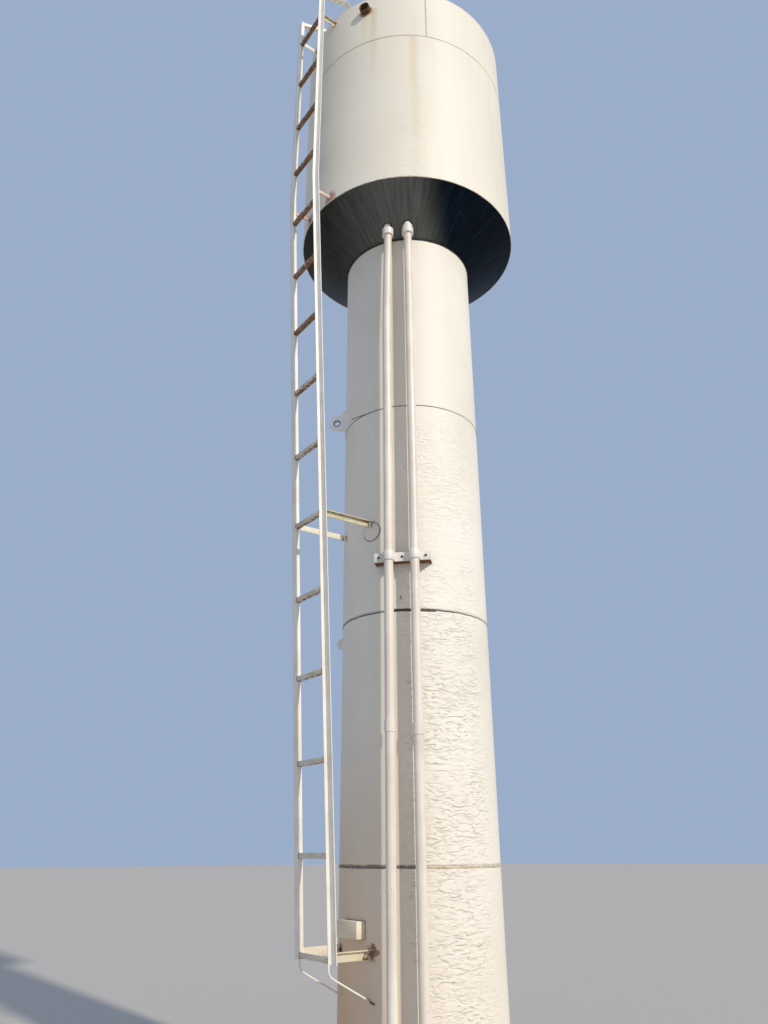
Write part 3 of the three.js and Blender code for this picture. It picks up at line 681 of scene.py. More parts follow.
def ladder_enamel(name, new, worn, rust_below, rust_above, turn=(4.7, 5.1), arm=None):
    """Brushed alkyd enamel over rust. Its wear goes from one share to another between two heights.

    arm holds the two tones of the arms behind a rail, where they differ from the rail's own.
    """
    material, tree, place = surface(name)
    height = add(tree, "SeparateXYZ", place, out="Z")
    cloud = add(tree, "TexNoise", place, Scale=7.0, Detail=4.0)
    tone = add(tree, "ValToRGB", cloud, stops=[(0.32, worn), (0.66, new)])
    # Rust flakes 3 to 15 mm across, more of them near each rung's weld and on the underside, where the extra
    # rust also paints in shade
    flakes = add(tree, "TexNoise", place, Scale=46.0, Detail=5.0, Roughness=0.65)
    normal = add(tree, "NewGeometry", out="Normal")
    facing = add(tree, "SeparateXYZ", normal, out="Z")
    underside_rust_and_shade = add(tree, "MapRange", facing, -0.2, -0.8, 0.0, 0.16)
    lifted = add(tree, "Math", height, TOP_RUNG, operation="SUBTRACT")
    from_rung = add(tree, "Math", lifted, RUNG_STEP / 2, operation="PINGPONG")
    bled = add(tree, "MapRange", from_rung, 0.014, 0.04, 0.1, 0.0)
    wear = add(tree, "MapRange", height, *turn, rust_below, rust_above)
    for more_wear in (bled, underside_rust_and_shade):
        wear = add(tree, "Math", wear, more_wear, operation="ADD")
    if arm:
        outward = add(tree, "VectorMath", place, OUTWARD, out="Value", operation="DOT_PRODUCT")
        below_kink = add(tree, "Math", RAIL_KINK, height, operation="SUBTRACT")
        leaning = add(tree, "Math", below_kink, 0.0, operation="MAXIMUM")
        from_rail = add(tree, "Math", leaning, RAIL_LEAN, outward, operation="MULTIPLY_ADD")
        behind = add(tree, "Math", from_rail, RAIL_DISTANCE - RAIL_BACK, operation="LESS_THAN")
        arm_tone = add(tree, "ValToRGB", cloud, stops=[(0.32, arm[1]), (0.66, arm[0])])
        tone = tinted(tree, tone, arm_tone, behind)
        # The pad has the column's paint, and the roots of the other arms have rusted
        on_wall = add(tree, "Math", outward, COLUMN_RADIUS - 0.001, operation="LESS_THAN")
        off_pad = add(tree, "Math", height, PAD_HEIGHT, operation="SUBTRACT")
        at_pad = add(tree, "Math", off_pad, 0.0, PAD_RADIUS + 0.002, operation="COMPARE")
        pad = product(tree, on_wall, at_pad)
        tone = tinted(tree, tone, "#f0e7d6", pad)
        elsewhere = add(tree, "Math", 1.0, pad, operation="SUBTRACT")
        root = add(tree, "MapRange", outward, COLUMN_RADIUS, COLUMN_RADIUS + 0.07, 0.2, 0.0)
        wear = add(tree, "Math", root, elsewhere, wear, operation="MULTIPLY_ADD")
    loose = add(tree, "Math", flakes, wear, operation="ADD")
    rust = add(tree, "MapRange", loose, 0.68, 0.78, 0.0, 1.0)
    browns = add(tree, "ValToRGB", flakes, stops=[(0.35, "#ad8460"), (0.5, "#8c684b"), (0.68, "#5f4635")])
    colour = tinted(tree, tone, browns, rust)
    gloss = add(tree, "MapRange", rust, 0.0, 1.0, 0.46, 0.88)
    skin = add(tree, "Math", cloud, 0.4, product(tree, flakes, rust), operation="MULTIPLY_ADD")
    bump = add(tree, "Bump", Strength=0.7, Distance=0.0012, Height=skin)
    return shade(material, Base_Color=colour, Roughness=gloss, Normal=bump)


rail_paint = ladder_enamel("brushed_rail_enamel", *CREAM, -0.07, -0.04)
near_paint = ladder_enamel("yellowed_rail_enamel", *CREAM, -0.06, -0.04, arm=("#e0d6b8", "#bfb08c"))
far_paint = ladder_enamel("greyed_rail_enamel", *CREAM, -0.07, -0.04, arm=("#f3ead8", "#d9cdb6"))
rung_paint = ladder_enamel("worn_rung_enamel", "#e8dcc6", "#cdbda4", -0.03, 0.2, turn=(4.3, 5.0))
rim_arm_paint = ladder_enamel("reddened_arm_enamel", "#dfc6b2", "#bb9883", 0.04, 0.04)
cover_paint = ladder_enamel("tan_cover_enamel", "#eedfc6", "#e3d1b2", -0.2, -0.2)
# The lug's enamel is whiter than the column's: painted light, for the brighter look it has where light falls
# on it
lug_painted_light = ladder_enamel("white_lug_enamel", "#fdfaf4", "#f6f1e8", -0.2, -0.2)
print("ladder paints:", near_paint.name, far_paint.name, rung_paint.name, rim_arm_paint.name)

# %% Pipe paint, steel and fillers
def pipe_enamel(name, new, worn, grime):
    """Smooth brushed enamel on steel pipe: ivory, half gloss, with dust that runs down it."""
    material, tree, place = surface(name)
    cloud = add(tree, "TexNoise", place, Scale=5.0, Detail=4.0)
    tone = add(tree, "ValToRGB", cloud, stops=[(0.35, worn), (0.65, new)])
    runs = streaks(tree, place, (90.0, 90.0, 2.6), Detail=3.0)
    run = add(tree, "MapRange", runs, 0.52, 0.72, 0.0, grime)
    colour = tinted(tree, tone, "#a8947c", run)
    specks = add(tree, "TexNoise", place, Scale=70.0, Detail=3.0)
    speck = add(tree, "MapRange", specks, 0.71, 0.74, 0.0, 0.7)
    colour = tinted(tree, colour, "#7c5136", speck)
    bump = add(tree, "Bump", Strength=0.5, Distance=0.0008, Height=runs)
    return shade(material, Base_Color=colour, Roughness=0.4, Normal=bump)


def blotched(name, pale, middle, dark, scale=38.0, rough=0.9):
    """A granular skin in blotches of three tones: rust, zinc, sealant, or thin dirty paint on a bead."""
    material, tree, place = surface(name)
    blotch = add(tree, "TexNoise", place, Scale=scale, Detail=6.0, Roughness=0.65)
    tone = add(tree, "ValToRGB", blotch, stops=[(0.3, dark), (0.5, middle), (0.68, pale)])
    bump = add(tree, "Bump", Strength=0.8, Distance=0.0015, Height=blotch)
    return shade(material, Base_Color=tone, Roughness=rough, Normal=bump)


pipe_paint = pipe_enamel("ivory_pipe_enamel", "#eee3d3", "#e2d5c4", 0.22)
collar_paint = pipe_enamel("white_collar_enamel", "#f4f0e8", "#e4ddd1", 0.12)
angle_rust = blotched("red_brown_rust", "#95634a", "#744a37", "#3f2b22")
spout_rust = blotched("dark_pipe_rust", "#8c6a3f", "#5d4329", "#2e211a", scale=52.0)
bolt_steel = blotched("weathered_zinc", "#76726b", "#4d4843", "#2f2a26", scale=120.0, rough=0.55)
sealant = blotched("old_roof_sealant", "#6d675e", "#4a4641", "#302d2b", scale=60.0, rough=0.7)
seam_bead = blotched("dirty_weld_bead", "#ded2b8", "#cbbd9e", "#9a8a70", scale=24.0, rough=0.75)
tank_bead = blotched("grey_weld_bead", "#cbc4b1", "#b5ae9b", "#989280", scale=22.0, rough=0.6)
pale_bead = blotched("painted_weld_bead", "#ebe2d2", "#d6cbb7", "#a69880", scale=30.0, rough=0.5)
burnt_bead = blotched("rusty_weld_bead", "#a58467", "#795b45", "#453329", scale=60.0, rough=0.85)
stained_bead = blotched("stained_weld_bead", "#968a7d", "#6f6459", "#4b433b", scale=30.0, rough=0.75)
grey_bead = blotched("dull_weld_bead", "#a1978a", "#7d7469", "#564f47", scale=40.0, rough=0.7)
tar_bead = blotched("bitumen_daub", "#2b2a28", "#1a1918", "#0e0e0e", scale=40.0, rough=0.45)
print("more finishes:", pipe_paint.name, collar_paint.name, angle_rust.name, spout_rust.name)

# %% [markdown]
# ## Column
#
# Four courses of 6 mm plate, each rolled to a metre across and 1.5 m high. Each one could be a cylinder, but
# rolled plate is never quite round: a millimetre of wave is enough to make the light along its edge
# wander. The courses share one wave, so their edges still meet.

# %% Column courses
SHELL_SIDES = 192
COLUMN_WALL = 6 * MM
PLATE_EDGE = 0.6 * MM
ROLLED = dict(wave=1.0 * MM, wave_size=0.45)
COURSES = [f"column_course_{number}" for number in (1, 2, 3, 4)]


def heights(node):
    """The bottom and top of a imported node."""
    low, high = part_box(node)
    return low[2], high[2]


for course in COURSES:
    profile = wall_profile(COLUMN_RADIUS, COLUMN_WALL, *heights(course), 30, PLATE_EDGE)
    dress(course + "_plate", turned(profile, SHELL_SIDES, **ROLLED), column_paint, [course])
print("column courses:", len(COURSES), "up to", round(heights(COURSES[-1])[1], 3), "m")

# %% [markdown]
# ## Base plate
#
# A disc of 16 mm plate spreads the load on the footing. Eight gussets stiffen the joint, and each riser
# comes up through a hole. The disc is turned, the gussets are flat plates turned into place, and a Boolean
# modifier drills the holes.

# %% Base plate
BASE_RADIUS = 0.64
BASE_EDGE = 1.2 * MM
GUSSETS = 8
GUSSET_THICKNESS = 10 * MM
GUSSET_ROOT, GUSSET_SHOULDER, GUSSET_TIP, GUSSET_TIP_TOP = 0.5003, 0.5253, 0.6003, 0.041
RISER_X, RISER_Y = 0.085, -0.58045
PIPE_HOLE = 34 * MM


def disc_profile(radius, bottom, top, chamfer):
    """A solid disc with chamfered edges, from its axis and back to it."""
    return [(0, bottom), (radius - chamfer, bottom), (radius, bottom + chamfer),
            (radius, top - chamfer), (radius - chamfer, top), (0, top)]


def standing_plate(outline, thickness, azimuth):
    """A flat plate that stands out from the column: outline holds its (reach, height) points."""
    shape = bmesh.new()
    face = shape.faces.new([shape.verts.new((-thickness / 2, -reach, height)) for reach, height in outline])
    grown = bmesh.ops.extrude_face_region(shape, geom=[face])["geom"]
    moved = [item for item in grown if isinstance(item, bmesh.types.BMVert)]
    bmesh.ops.translate(shape, vec=(thickness, 0, 0), verts=moved)
    bmesh.ops.recalc_face_normals(shape, faces=shape.faces)
    bmesh.ops.bevel(shape, geom=list(shape.edges), offset=BASE_EDGE, segments=2, affect="EDGES")
    bmesh.ops.rotate(shape, verts=shape.verts, matrix=Matrix.Rotation(azimuth, 3, "Z"))
    return meshed(shape, "standing_plate")


def joined(name, meshes):
    """One mesh made of several."""
    shape = bmesh.new()
    for mesh in meshes:
        shape.from_mesh(mesh)
    return smoothed(meshed(shape, name))


def carved(mesh, cutters):
    """The mesh with the cutters taken out of it, by Boolean modifiers that are then applied."""
    body = put("carved", mesh)
    tools = [put("cutter", cutter) for cutter in cutters]
    for tool in tools:
        modifier = body.modifiers.new("cut", "BOOLEAN")
        modifier.operation = "DIFFERENCE"
        modifier.solver = "EXACT"
        modifier.object = tool
    result = applied(body)
    for tool in tools:
        bpy.data.objects.remove(tool)
    return result


plate_bottom, gusset_top = heights("base_plate")
plate_top = heights(COURSES[0])[0]
disc = turned(disc_profile(BASE_RADIUS, plate_bottom, plate_top, BASE_EDGE), 144)
drill_profile = disc_profile(PIPE_HOLE, -0.05, 0.05, MM)
drills = [turned(drill_profile, 48, centre=(x, RISER_Y)) for x in (-RISER_X, RISER_X)]
gusset_outline = [(GUSSET_ROOT, plate_top), (GUSSET_ROOT, gusset_top), (GUSSET_SHOULDER, gusset_top),
                  (GUSSET_TIP, GUSSET_TIP_TOP), (GUSSET_TIP, plate_top)]
gusset_turns = turns(GUSSETS, 0.5)
gussets = [standing_plate(gusset_outline, GUSSET_THICKNESS, turn) for turn in gusset_turns]
base_mesh = joined("base_plate_steel", [carved(disc, drills)] + gussets)
dress("base_plate_steel", base_mesh, column_paint, ["base_plate"])
print("base plate with", len(gussets), "gussets and", len(drills), "drilled holes")

# %% [markdown]
# ## Tank: cone, two courses, roof and hatch
#
# The tank is wider than the column by almost 0.4 m on each side. Its shell is 5 mm plate, rolled in two
# courses. The cone under it is welded from segments, and its coat hides the joints. The overflow spout
# drains a hole in the upper course, so that hole is drilled here too.

# %% Tank shells
TANK_RADIUS = 0.883
TANK_WALL = 5 * MM
SPOUT_AZIMUTH = math.radians(12.8)
SPOUT_HEIGHT = 8.195
SPOUT_RADIUS = 44.5 * MM
SPOUT_BORE = 40.5 * MM
cone_bottom, cone_top = heights("tank_cone")
ROLLED_WIDE = dict(wave=1.2 * MM, wave_size=0.6, seed=40.0)


def aimed(mesh, azimuth, height):
    """Lays an upright turned mesh down, so that its axis points out of the wall at that azimuth."""
    mesh.transform(Matrix.Rotation(-azimuth, 4, "Z") @ Matrix.Rotation(math.pi / 2, 4, "X"))
    mesh.transform(Matrix.Translation((0, 0, height)))
    return mesh


def cone_profile(rows=14):
    """The cone's underside in rows, then back along its inside."""
    spread = TANK_RADIUS - COLUMN_RADIUS
    rise = cone_top - cone_bottom
    flat = TANK_WALL * math.hypot(spread, rise) / rise
    outside = [(COLUMN_RADIUS + spread * i / rows, cone_bottom + rise * i / rows) for i in range(rows + 1)]
    return [(COLUMN_RADIUS - flat, cone_bottom)] + outside + [(TANK_RADIUS - flat, cone_top)]


cone = turned(cone_profile(), SHELL_SIDES, **ROLLED_WIDE)
dress("tank_cone_plate", cone, bitumen, ["tank_cone"])
lower_profile = wall_profile(TANK_RADIUS, TANK_WALL, *heights("tank_course_lower"), 28, PLATE_EDGE)
lower = turned(lower_profile, SHELL_SIDES, **ROLLED_WIDE)
dress("tank_lower_plate", lower, tank_paint, ["tank_course_lower"])
upper_profile = wall_profile(TANK_RADIUS, TANK_WALL, *heights("tank_course_upper"), 12, PLATE_EDGE)
drain = aimed(turned(disc_profile(SPOUT_BORE, 0.7, 1.1, MM), 48), SPOUT_AZIMUTH, SPOUT_HEIGHT)
upper = carved(turned(upper_profile, SHELL_SIDES, **ROLLED_WIDE), [drain])
dress("tank_upper_plate", upper, tank_paint, ["tank_course_upper"])
nodes["tank_floor"].data.materials.clear()
nodes["tank_floor"].data.materials.append(bitumen)
print("tank shells turned, cone rises", round(cone_top - cone_bottom, 3), "m")

# %% Roof and hatch
HATCH_RADIUS = 0.28
HATCH_WALL = 6 * MM
COVER_RADIUS = 0.3
COVER_BORE = 0.296
COVER_CROWN = 0.014
PLATE = 5 * MM
roof_bottom, roof_peak = heights("tank_roof")
neck_bottom, neck_top = heights("hatch_neck")
cover_bottom, cover_peak = heights("hatch_cover")
hatch_hole = HATCH_RADIUS - HATCH_WALL
roof_loop = [
    (TANK_RADIUS - 2 * PLATE, roof_bottom), (TANK_RADIUS + 0.4 * MM, roof_bottom),
    (TANK_RADIUS + MM, roof_bottom + 0.6 * MM), (TANK_RADIUS + MM, roof_bottom + 4.2 * MM),
    (TANK_RADIUS, roof_bottom + 5.1 * MM), (hatch_hole, roof_peak), (hatch_hole, roof_peak - PLATE),
]
neck_loop = wall_profile(HATCH_RADIUS, HATCH_WALL, neck_bottom, neck_top, 4, MM)
cover_loop = [
    (0, neck_top), (COVER_BORE, neck_top), (COVER_BORE, cover_bottom),
    (COVER_RADIUS - 1.5 * MM, cover_bottom), (COVER_RADIUS, cover_bottom + 1.5 * MM),
    (COVER_RADIUS, neck_top - 4 * MM),
]
for t in [math.radians(degrees) for degrees in range(0, 90, 10)]:
    cover_loop.append(((COVER_RADIUS - 3 * MM) * math.cos(t), cover_peak - COVER_CROWN * (1 - math.sin(t))))
cover_loop.append((0, cover_peak))
dress("tank_roof_plate", turned(roof_loop, SHELL_SIDES), tank_paint, ["tank_roof"])
dress("hatch_neck_ring", turned(neck_loop, 96), tank_paint, ["hatch_neck"])
dress("hatch_cover_lid", turned(cover_loop, 96), tank_paint, ["hatch_cover"])
print("roof peak", round(roof_peak, 3), "m, hatch cover peak", round(cover_peak, 3), "m")

# %% [markdown]
# ## Overflow spout
#
# A cut length of pipe that points out of the tank. It is turned upright like the other round pieces, with a
# thin torn lip, and then laid down to aim out of the wall.

# %% Overflow spout
SPOUT_ROOT, SPOUT_MIDDLE, SPOUT_END = 0.8825, 0.9, 0.93
spout_loop = [
    (SPOUT_BORE, SPOUT_ROOT), (SPOUT_RADIUS, SPOUT_ROOT), (SPOUT_RADIUS, SPOUT_MIDDLE),
    (SPOUT_RADIUS, SPOUT_END - 2 * MM), (SPOUT_RADIUS - MM, SPOUT_END), (SPOUT_RADIUS - 3 * MM, SPOUT_END),
    (SPOUT_BORE, SPOUT_END - 2 * MM), (SPOUT_BORE, SPOUT_MIDDLE),
]
spout_mesh = aimed(turned(spout_loop, 48), SPOUT_AZIMUTH, SPOUT_HEIGHT)
dress("overflow_pipe", spout_mesh, spout_rust, ["overflow_spout"])
print("spout reaches", SPOUT_END, "m from the axis")

# %% [markdown]
# ## Ladder
#
# Angle, flat bar and round rod, cut and welded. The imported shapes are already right, so each piece is a copy
# with edges rounded by a millimetre, as rolled steel has them. The rails and their arms are one piece, but
# the arms have yellowed, so the rail's paint changes its tone behind the line of the rail.

# %% Rails, arms, rods and rungs
RUNG_COUNT = 15


def rail_line(height):
    """How far the rails' middle is from the column's axis at a height."""
    return RAIL_DISTANCE - RAIL_LEAN * max(0.0, RAIL_KINK - height)


def on_ladder(across, outward, height):
    """A place in the tower from one measured along the ladder, out from the column's axis, and up."""
    return ACROSS * across + OUTWARD * outward + Vector((0, 0, height))


BARS = [("rail_return", rail_paint), ("rim_arm", rim_arm_paint), ("stay_rod", rail_paint)]
for side, rail_finish in (("far", far_paint), ("near", near_paint)):
    node = "ladder_rail_" + side
    dress("rail_" + side, softened(node, 1.1 * MM), rail_finish, [node])
    for part, finish in BARS:
        node = part + "_" + side
        dress(node + "_bar", softened(node, 0.8 * MM), finish, [node])
for i in range(1, RUNG_COUNT + 1):
    node = "rung_" + str(i)
    dress(node + "_angle", softened(node, 0.9 * MM), rung_paint, [node])
print("rungs:", RUNG_COUNT)

# %% [markdown]
# ## Risers and couplings
#
# Two-inch steel pipe, screwed together with a socket and let into the cone by a coupling. They are round, so
# they are turned too, with a small chamfer on each socket and coupling, as screwed fittings have. The
# left riser sways sideways near its top, so its turning takes a bend.

# %% Risers and couplings
RISER_RADIUS = 30.15 * MM
RISER_BORE = 26.25 * MM
SOCKET_RADIUS = 34 * MM
SOCKET_TOPS = {"left": 2.305, "right": 2.285}
SOCKET_LENGTH = 0.07
SWAY_HEIGHT = 5.2
SWAY = {"left": 15 * MM, "right": 0.0}
COUPLING_RADIUS = 44 * MM
NECK_RADIUS = 38 * MM
CHAMFER = 2 * MM
# The heights of each coupling's bottom, of its shoulder and of its neck's top
STEPS = {"left": (5.977, 6.038, 6.038), "right": (5.971, 6.023, 6.053)}


def riser_loop(side):
    """A pipe with its socket, in rows where it may sway."""
    bottom, top = heights("riser_" + side)
    socket_top = SOCKET_TOPS[side]
    socket_bottom = socket_top - SOCKET_LENGTH
    straight = [(RISER_RADIUS, socket_top + (SWAY_HEIGHT - socket_top) * i / 8) for i in range(9)]
    swaying = [(RISER_RADIUS, SWAY_HEIGHT + (top - SWAY_HEIGHT) * i / 6) for i in range(1, 7)]
    return [
        (RISER_BORE, bottom), (RISER_RADIUS, bottom), (RISER_RADIUS, socket_bottom),
        (SOCKET_RADIUS - CHAMFER, socket_bottom), (SOCKET_RADIUS, socket_bottom + CHAMFER),
        (SOCKET_RADIUS, socket_top - CHAMFER), (SOCKET_RADIUS - CHAMFER, socket_top),
    ] + straight + swaying + [(RISER_BORE, top), (RISER_BORE, SWAY_HEIGHT)]


def coupling_loop(side):
    """A collar under the cone, and on the right a narrower neck above it."""
    bottom, shoulder, neck = STEPS[side]
    top = heights("riser_coupling_" + side)[1]
    body = [(RISER_BORE, bottom), (COUPLING_RADIUS - CHAMFER, bottom), (COUPLING_RADIUS, bottom + CHAMFER),
            (COUPLING_RADIUS, shoulder - CHAMFER), (COUPLING_RADIUS - CHAMFER, shoulder)]
    if neck > shoulder:
        body += [(NECK_RADIUS, shoulder), (NECK_RADIUS, neck - CHAMFER), (NECK_RADIUS - CHAMFER, neck)]
    return body + [(RISER_RADIUS, neck), (RISER_RADIUS, top), (RISER_BORE, top)]


def sway_of(side):
    """How far a riser leans sideways at each height."""
    reach = STEPS[side][0] - SWAY_HEIGHT
    return lambda height: SWAY[side] * min(1.0, max(0.0, (height - SWAY_HEIGHT) / reach))


for side, x in (("left", -RISER_X), ("right", RISER_X)):
    pipe = turned(riser_loop(side), 48, centre=(x, RISER_Y), bend=sway_of(side))
    dress("riser_pipe_" + side, pipe, pipe_paint, ["riser_" + side])
    collar = turned(coupling_loop(side), 48, centre=(x + SWAY[side], RISER_Y))
    dress("coupling_" + side, collar, collar_paint, ["riser_coupling_" + side])
print("risers stand", round(abs(RISER_Y), 3), "m from the column's axis")

# %% [markdown]
# ## Clamp, lugs and wall cover
#
# A bent bar clamps both risers against a steel angle. Two lugs and a shallow cover are welded to the column.
# All of them are cut plate, so they too are copies with rounded edges.

# %% Clamp, lugs and wall cover
FITTINGS = [
    ("pipe_clamp", "clamp_bar", 1.0, collar_paint, "pipe_paint"),
    ("clamp_angle", "clamp_back_angle", 1.2, angle_rust, "rusty_steel"),
    ("lifting_lug", "lifting_lug_plate", 1.5, lug_painted_light, "column_paint"),
    ("small_lug", "small_lug_plate", 1.5, column_paint, "column_paint"),
    ("wall_box", "wall_cover", 2.5, cover_paint, "column_paint"),
]
for node, name, rounding, finish, slot in FITTINGS:
    dress(name, softened(node, rounding * MM), finish, [node])
print("fittings:", len(FITTINGS))

# %% [markdown]
# ## Weld beads round the column and the tank
#
# Each joint between plates has a bead of weld metal, 6 to 17 mm wide. It follows the joint, so the bead tree
# grows it along a path. Under paint it is a soft ridge. On the column it stands out, because dirt and rust
# gather on it: the low seam's bead is dull and dark on its shaded left half, which is dirt and painted shade,
# and old sealant covers part of the middle one.

# %% Girth and upright welds
LOW_SEAM_TURN = 8.6
SPLIT_START, SPLIT_END, SPLIT_STEPS = -54.0, -30.0, 8
SPLIT_RISE = 42 * MM
SEALED, TAPERED = (-8.7, 23.5), (22.0, 38.0)
SHORT_UPRIGHTS, LONG_UPRIGHTS = (20.6, -159.4), (64.0, -116.0)
COURSE_UPRIGHTS = (148.0, -150.0, 118.0, -172.0)
seams = [heights(course)[1] for course in COURSES[:3]]
tank_seam = heights("tank_course_upper")[0]


def weld(name, paths, material, slot, radius, seed, wander=2.0, swell=0.5, spacing=12.0):
    """Grows beads along some paths. The sizes are millimetres."""
    return grow(name, bead_tree, path_mesh(paths), material, slot, Bead_Radius=radius * MM,
                Wander=wander * MM, Swell=swell, Spacing=spacing * MM, Seed=seed)


def column_weld(name, paths, material, *sizes, **more):
    """A bead on the column's wall."""
    return weld(name, paths, material, "column_paint", *sizes, **more)


# The low seam's bead is pale on its sunlit right half and dark grey on its shaded left half: dirt, and painted
# shade
sunlit_half_path = girth(COLUMN_RADIUS - 4 * MM, seams[0], LOW_SEAM_TURN, LOW_SEAM_TURN + 180)
column_weld("column_low_seam_weld", [sunlit_half_path], seam_bead, 8.5, 3.0, wander=2, swell=0.25)
shaded_half_path = girth(COLUMN_RADIUS - 4 * MM, seams[0], LOW_SEAM_TURN - 180, LOW_SEAM_TURN)
column_weld("column_low_seam_stained", [shaded_half_path], grey_bead, 8.0, 3.0, wander=3, swell=0.5)
middle = girth(COLUMN_RADIUS - 2.5 * MM, seams[1])
column_weld("column_middle_seam_weld", [middle], stained_bead, 4.8, 4.0, wander=5, swell=0.9)
# The high seam's bead has a second line beside it on the left, which comes down to it in a curve
split = []
for i in range(SPLIT_STEPS + 1):
    azimuth = math.radians(SPLIT_START + (SPLIT_END - SPLIT_START) * i / SPLIT_STEPS)
    rise = SPLIT_RISE * (1 - i / SPLIT_STEPS) ** 1.3
    split.append(on_circle(COLUMN_RADIUS - 1.5 * MM, azimuth, seams[2] + rise))
high = [girth(COLUMN_RADIUS - 1.8 * MM, seams[2]), split]
column_weld("column_high_seam_weld", high, stained_bead, 4.0, 7.0, wander=4, swell=0.7)
sealed = [girth(COLUMN_RADIUS - 5 * MM, seams[1] + offset * MM, *SEALED, 40) for offset in (-4, 4)]
column_weld("seam_sealant", sealed, sealant, 8, 11.0, wander=4, swell=0.6)
tapered = girth(COLUMN_RADIUS - 3 * MM, seams[1] + 2 * MM, *TAPERED, 20)
column_weld("seam_sealant_end", [tapered], stained_bead, 6.5, 12.0, wander=5, swell=0.6)
seam_paths = [girth(TANK_RADIUS - 3 * MM, tank_seam, steps=240)]
seam_paths += [upright(TANK_RADIUS - 3 * MM, turn, tank_seam, roof_bottom, 24) for turn in SHORT_UPRIGHTS]
weld("tank_seam_welds", seam_paths, tank_bead, "tank_paint", 4.4, 5.0, wander=1.5, swell=0.3)
painted_paths = [girth(TANK_RADIUS - 2 * MM, cone_top, steps=240)]
painted_paths += [upright(TANK_RADIUS - 2 * MM, turn, cone_top, tank_seam) for turn in LONG_UPRIGHTS]
weld("tank_painted_welds", painted_paths, pale_bead, "tank_paint", 3, 6.0, wander=1.5, swell=0.3)
uprights = [upright(COLUMN_RADIUS - 1.5 * MM, turn, *heights(course))
            for course, turn in zip(COURSES, COURSE_UPRIGHTS)]
column_weld("column_upright_welds", uprights, pale_bead, 3.5, 9.0, swell=0.4)
fillets = [girth(radius + 2 * MM, height + 2 * MM)
           for radius, height in ((COLUMN_RADIUS, plate_top), (HATCH_RADIUS, neck_bottom))]
column_weld("foot_and_hatch_fillets", fillets, pale_bead, 6, 13.0, swell=0.4)
cone_joint = [girth(COLUMN_RADIUS + MM, cone_bottom - 2 * MM)]
weld("cone_joint_weld", cone_joint, tar_bead, "bitumen_coat", 5, 17.0, wander=3)
print("weld seams on the column at", [round(z, 2) for z in seams], "and on the tank at", round(tank_seam, 3))

# %% [markdown]
# ## Weld beads on the fittings
#
# A welder goes round each small fitting where it meets the wall, and puts a short bead at both ends of
# each rung. These beads are the same tree on shorter paths. Most were never primed, so they have rusted.

# %% Welds on the ladder
RAIL_INNER = 151.5 * MM
ARM_STEEL = 5 * MM
ARM_FLAT = 25 * MM
PAD_THICKNESS = 4 * MM
PAD_ACROSS = 158 * MM
RUNG_HALF = 15 * MM
# The top, the upright leg and the wall's radius of each arm
ARMS = [(8.29, 0.04, TANK_RADIUS), (3.641, 0.04, COLUMN_RADIUS), (1.086, 0.05, COLUMN_RADIUS)]
RIM_ARM_TOP, RIM_ARM_BOTTOM = 6.32, 6.29
RIM_ARM_LINE = 154 * MM
BAR_HALF = 4 * MM
ROD_ACROSS, ROD_FOOT = 154 * MM, 0.822


def wall_reach(radius, across):
    """How far out a round wall is, at a distance to the side of its middle."""
    return math.sqrt(radius * radius - across * across)


def along(radius, across_from, across_to, height_from, height_to, steps=6):
    """A path on a round wall between two places given in the ladder's own measures."""
    path = []
    for i in range(steps + 1):
        across = across_from + (across_to - across_from) * i / steps
        height = height_from + (height_to - height_from) * i / steps
        path.append(on_ladder(across, wall_reach(radius, across), height))
    return path


arm_paths = []
for top, leg, radius in ARMS:
    for root, outwards in ((RAIL_INNER + ARM_STEEL, 1), (-RAIL_INNER, -1)):
        padded = outwards > 0 and abs(top - PAD_HEIGHT) < PAD_RADIUS + leg
        face = radius + PAD_THICKNESS if padded else radius
        tip = root + outwards * ARM_FLAT
        web = root + outwards * ARM_STEEL
        under = top - ARM_STEEL
        arm_paths += [along(face, root, tip, top, top), along(face, web, tip, under, under),
                      along(face, root, root, top, top - leg), along(face, web, web, under, top - leg)]
weld("arm_welds", arm_paths, burnt_bead, "ladder_paint", 3.6, 21.0, swell=0.7, spacing=6)

ring_radius = PAD_RADIUS + 2.5 * MM
pad_ring = []
for turn in turns(32) + [0.0]:
    across = PAD_ACROSS + ring_radius * math.cos(turn)
    reach = wall_reach(COLUMN_RADIUS + MM, across)
    pad_ring.append(on_ladder(across, reach, PAD_HEIGHT + ring_radius * math.sin(turn)))
column_weld("pad_weld", [pad_ring], grey_bead, 2.4, 22.0, wander=1, spacing=8)

rung_paths = []
for i in range(RUNG_COUNT):
    height = TOP_RUNG - RUNG_STEP * i
    front, back = rail_line(height) + RUNG_HALF, rail_line(height) - RUNG_HALF
    for across in (-RAIL_INNER + MM, RAIL_INNER - MM):
        corner = on_ladder(across, front, height - RUNG_HALF)
        rung_paths.append([on_ladder(across, front, height + RUNG_HALF), corner])
        rung_paths.append([corner, on_ladder(across, back, height - RUNG_HALF)])
weld("rung_welds", rung_paths, burnt_bead, "ladder_paint", 2.4, 23.0, wander=1.5, swell=0.9, spacing=5)

rim_paths = []
for middle in (-RIM_ARM_LINE, RIM_ARM_LINE):
    left, right = middle - BAR_HALF, middle + BAR_HALF
    rim_paths += [along(TANK_RADIUS, across, across, RIM_ARM_TOP, RIM_ARM_BOTTOM) for across in (left, right)]
    rim_paths.append(along(TANK_RADIUS, left, right, RIM_ARM_TOP, RIM_ARM_TOP, 2))
weld("rim_arm_welds", rim_paths, burnt_bead, "ladder_paint", 3.5, 25.0, wander=1.5, swell=0.8, spacing=5)

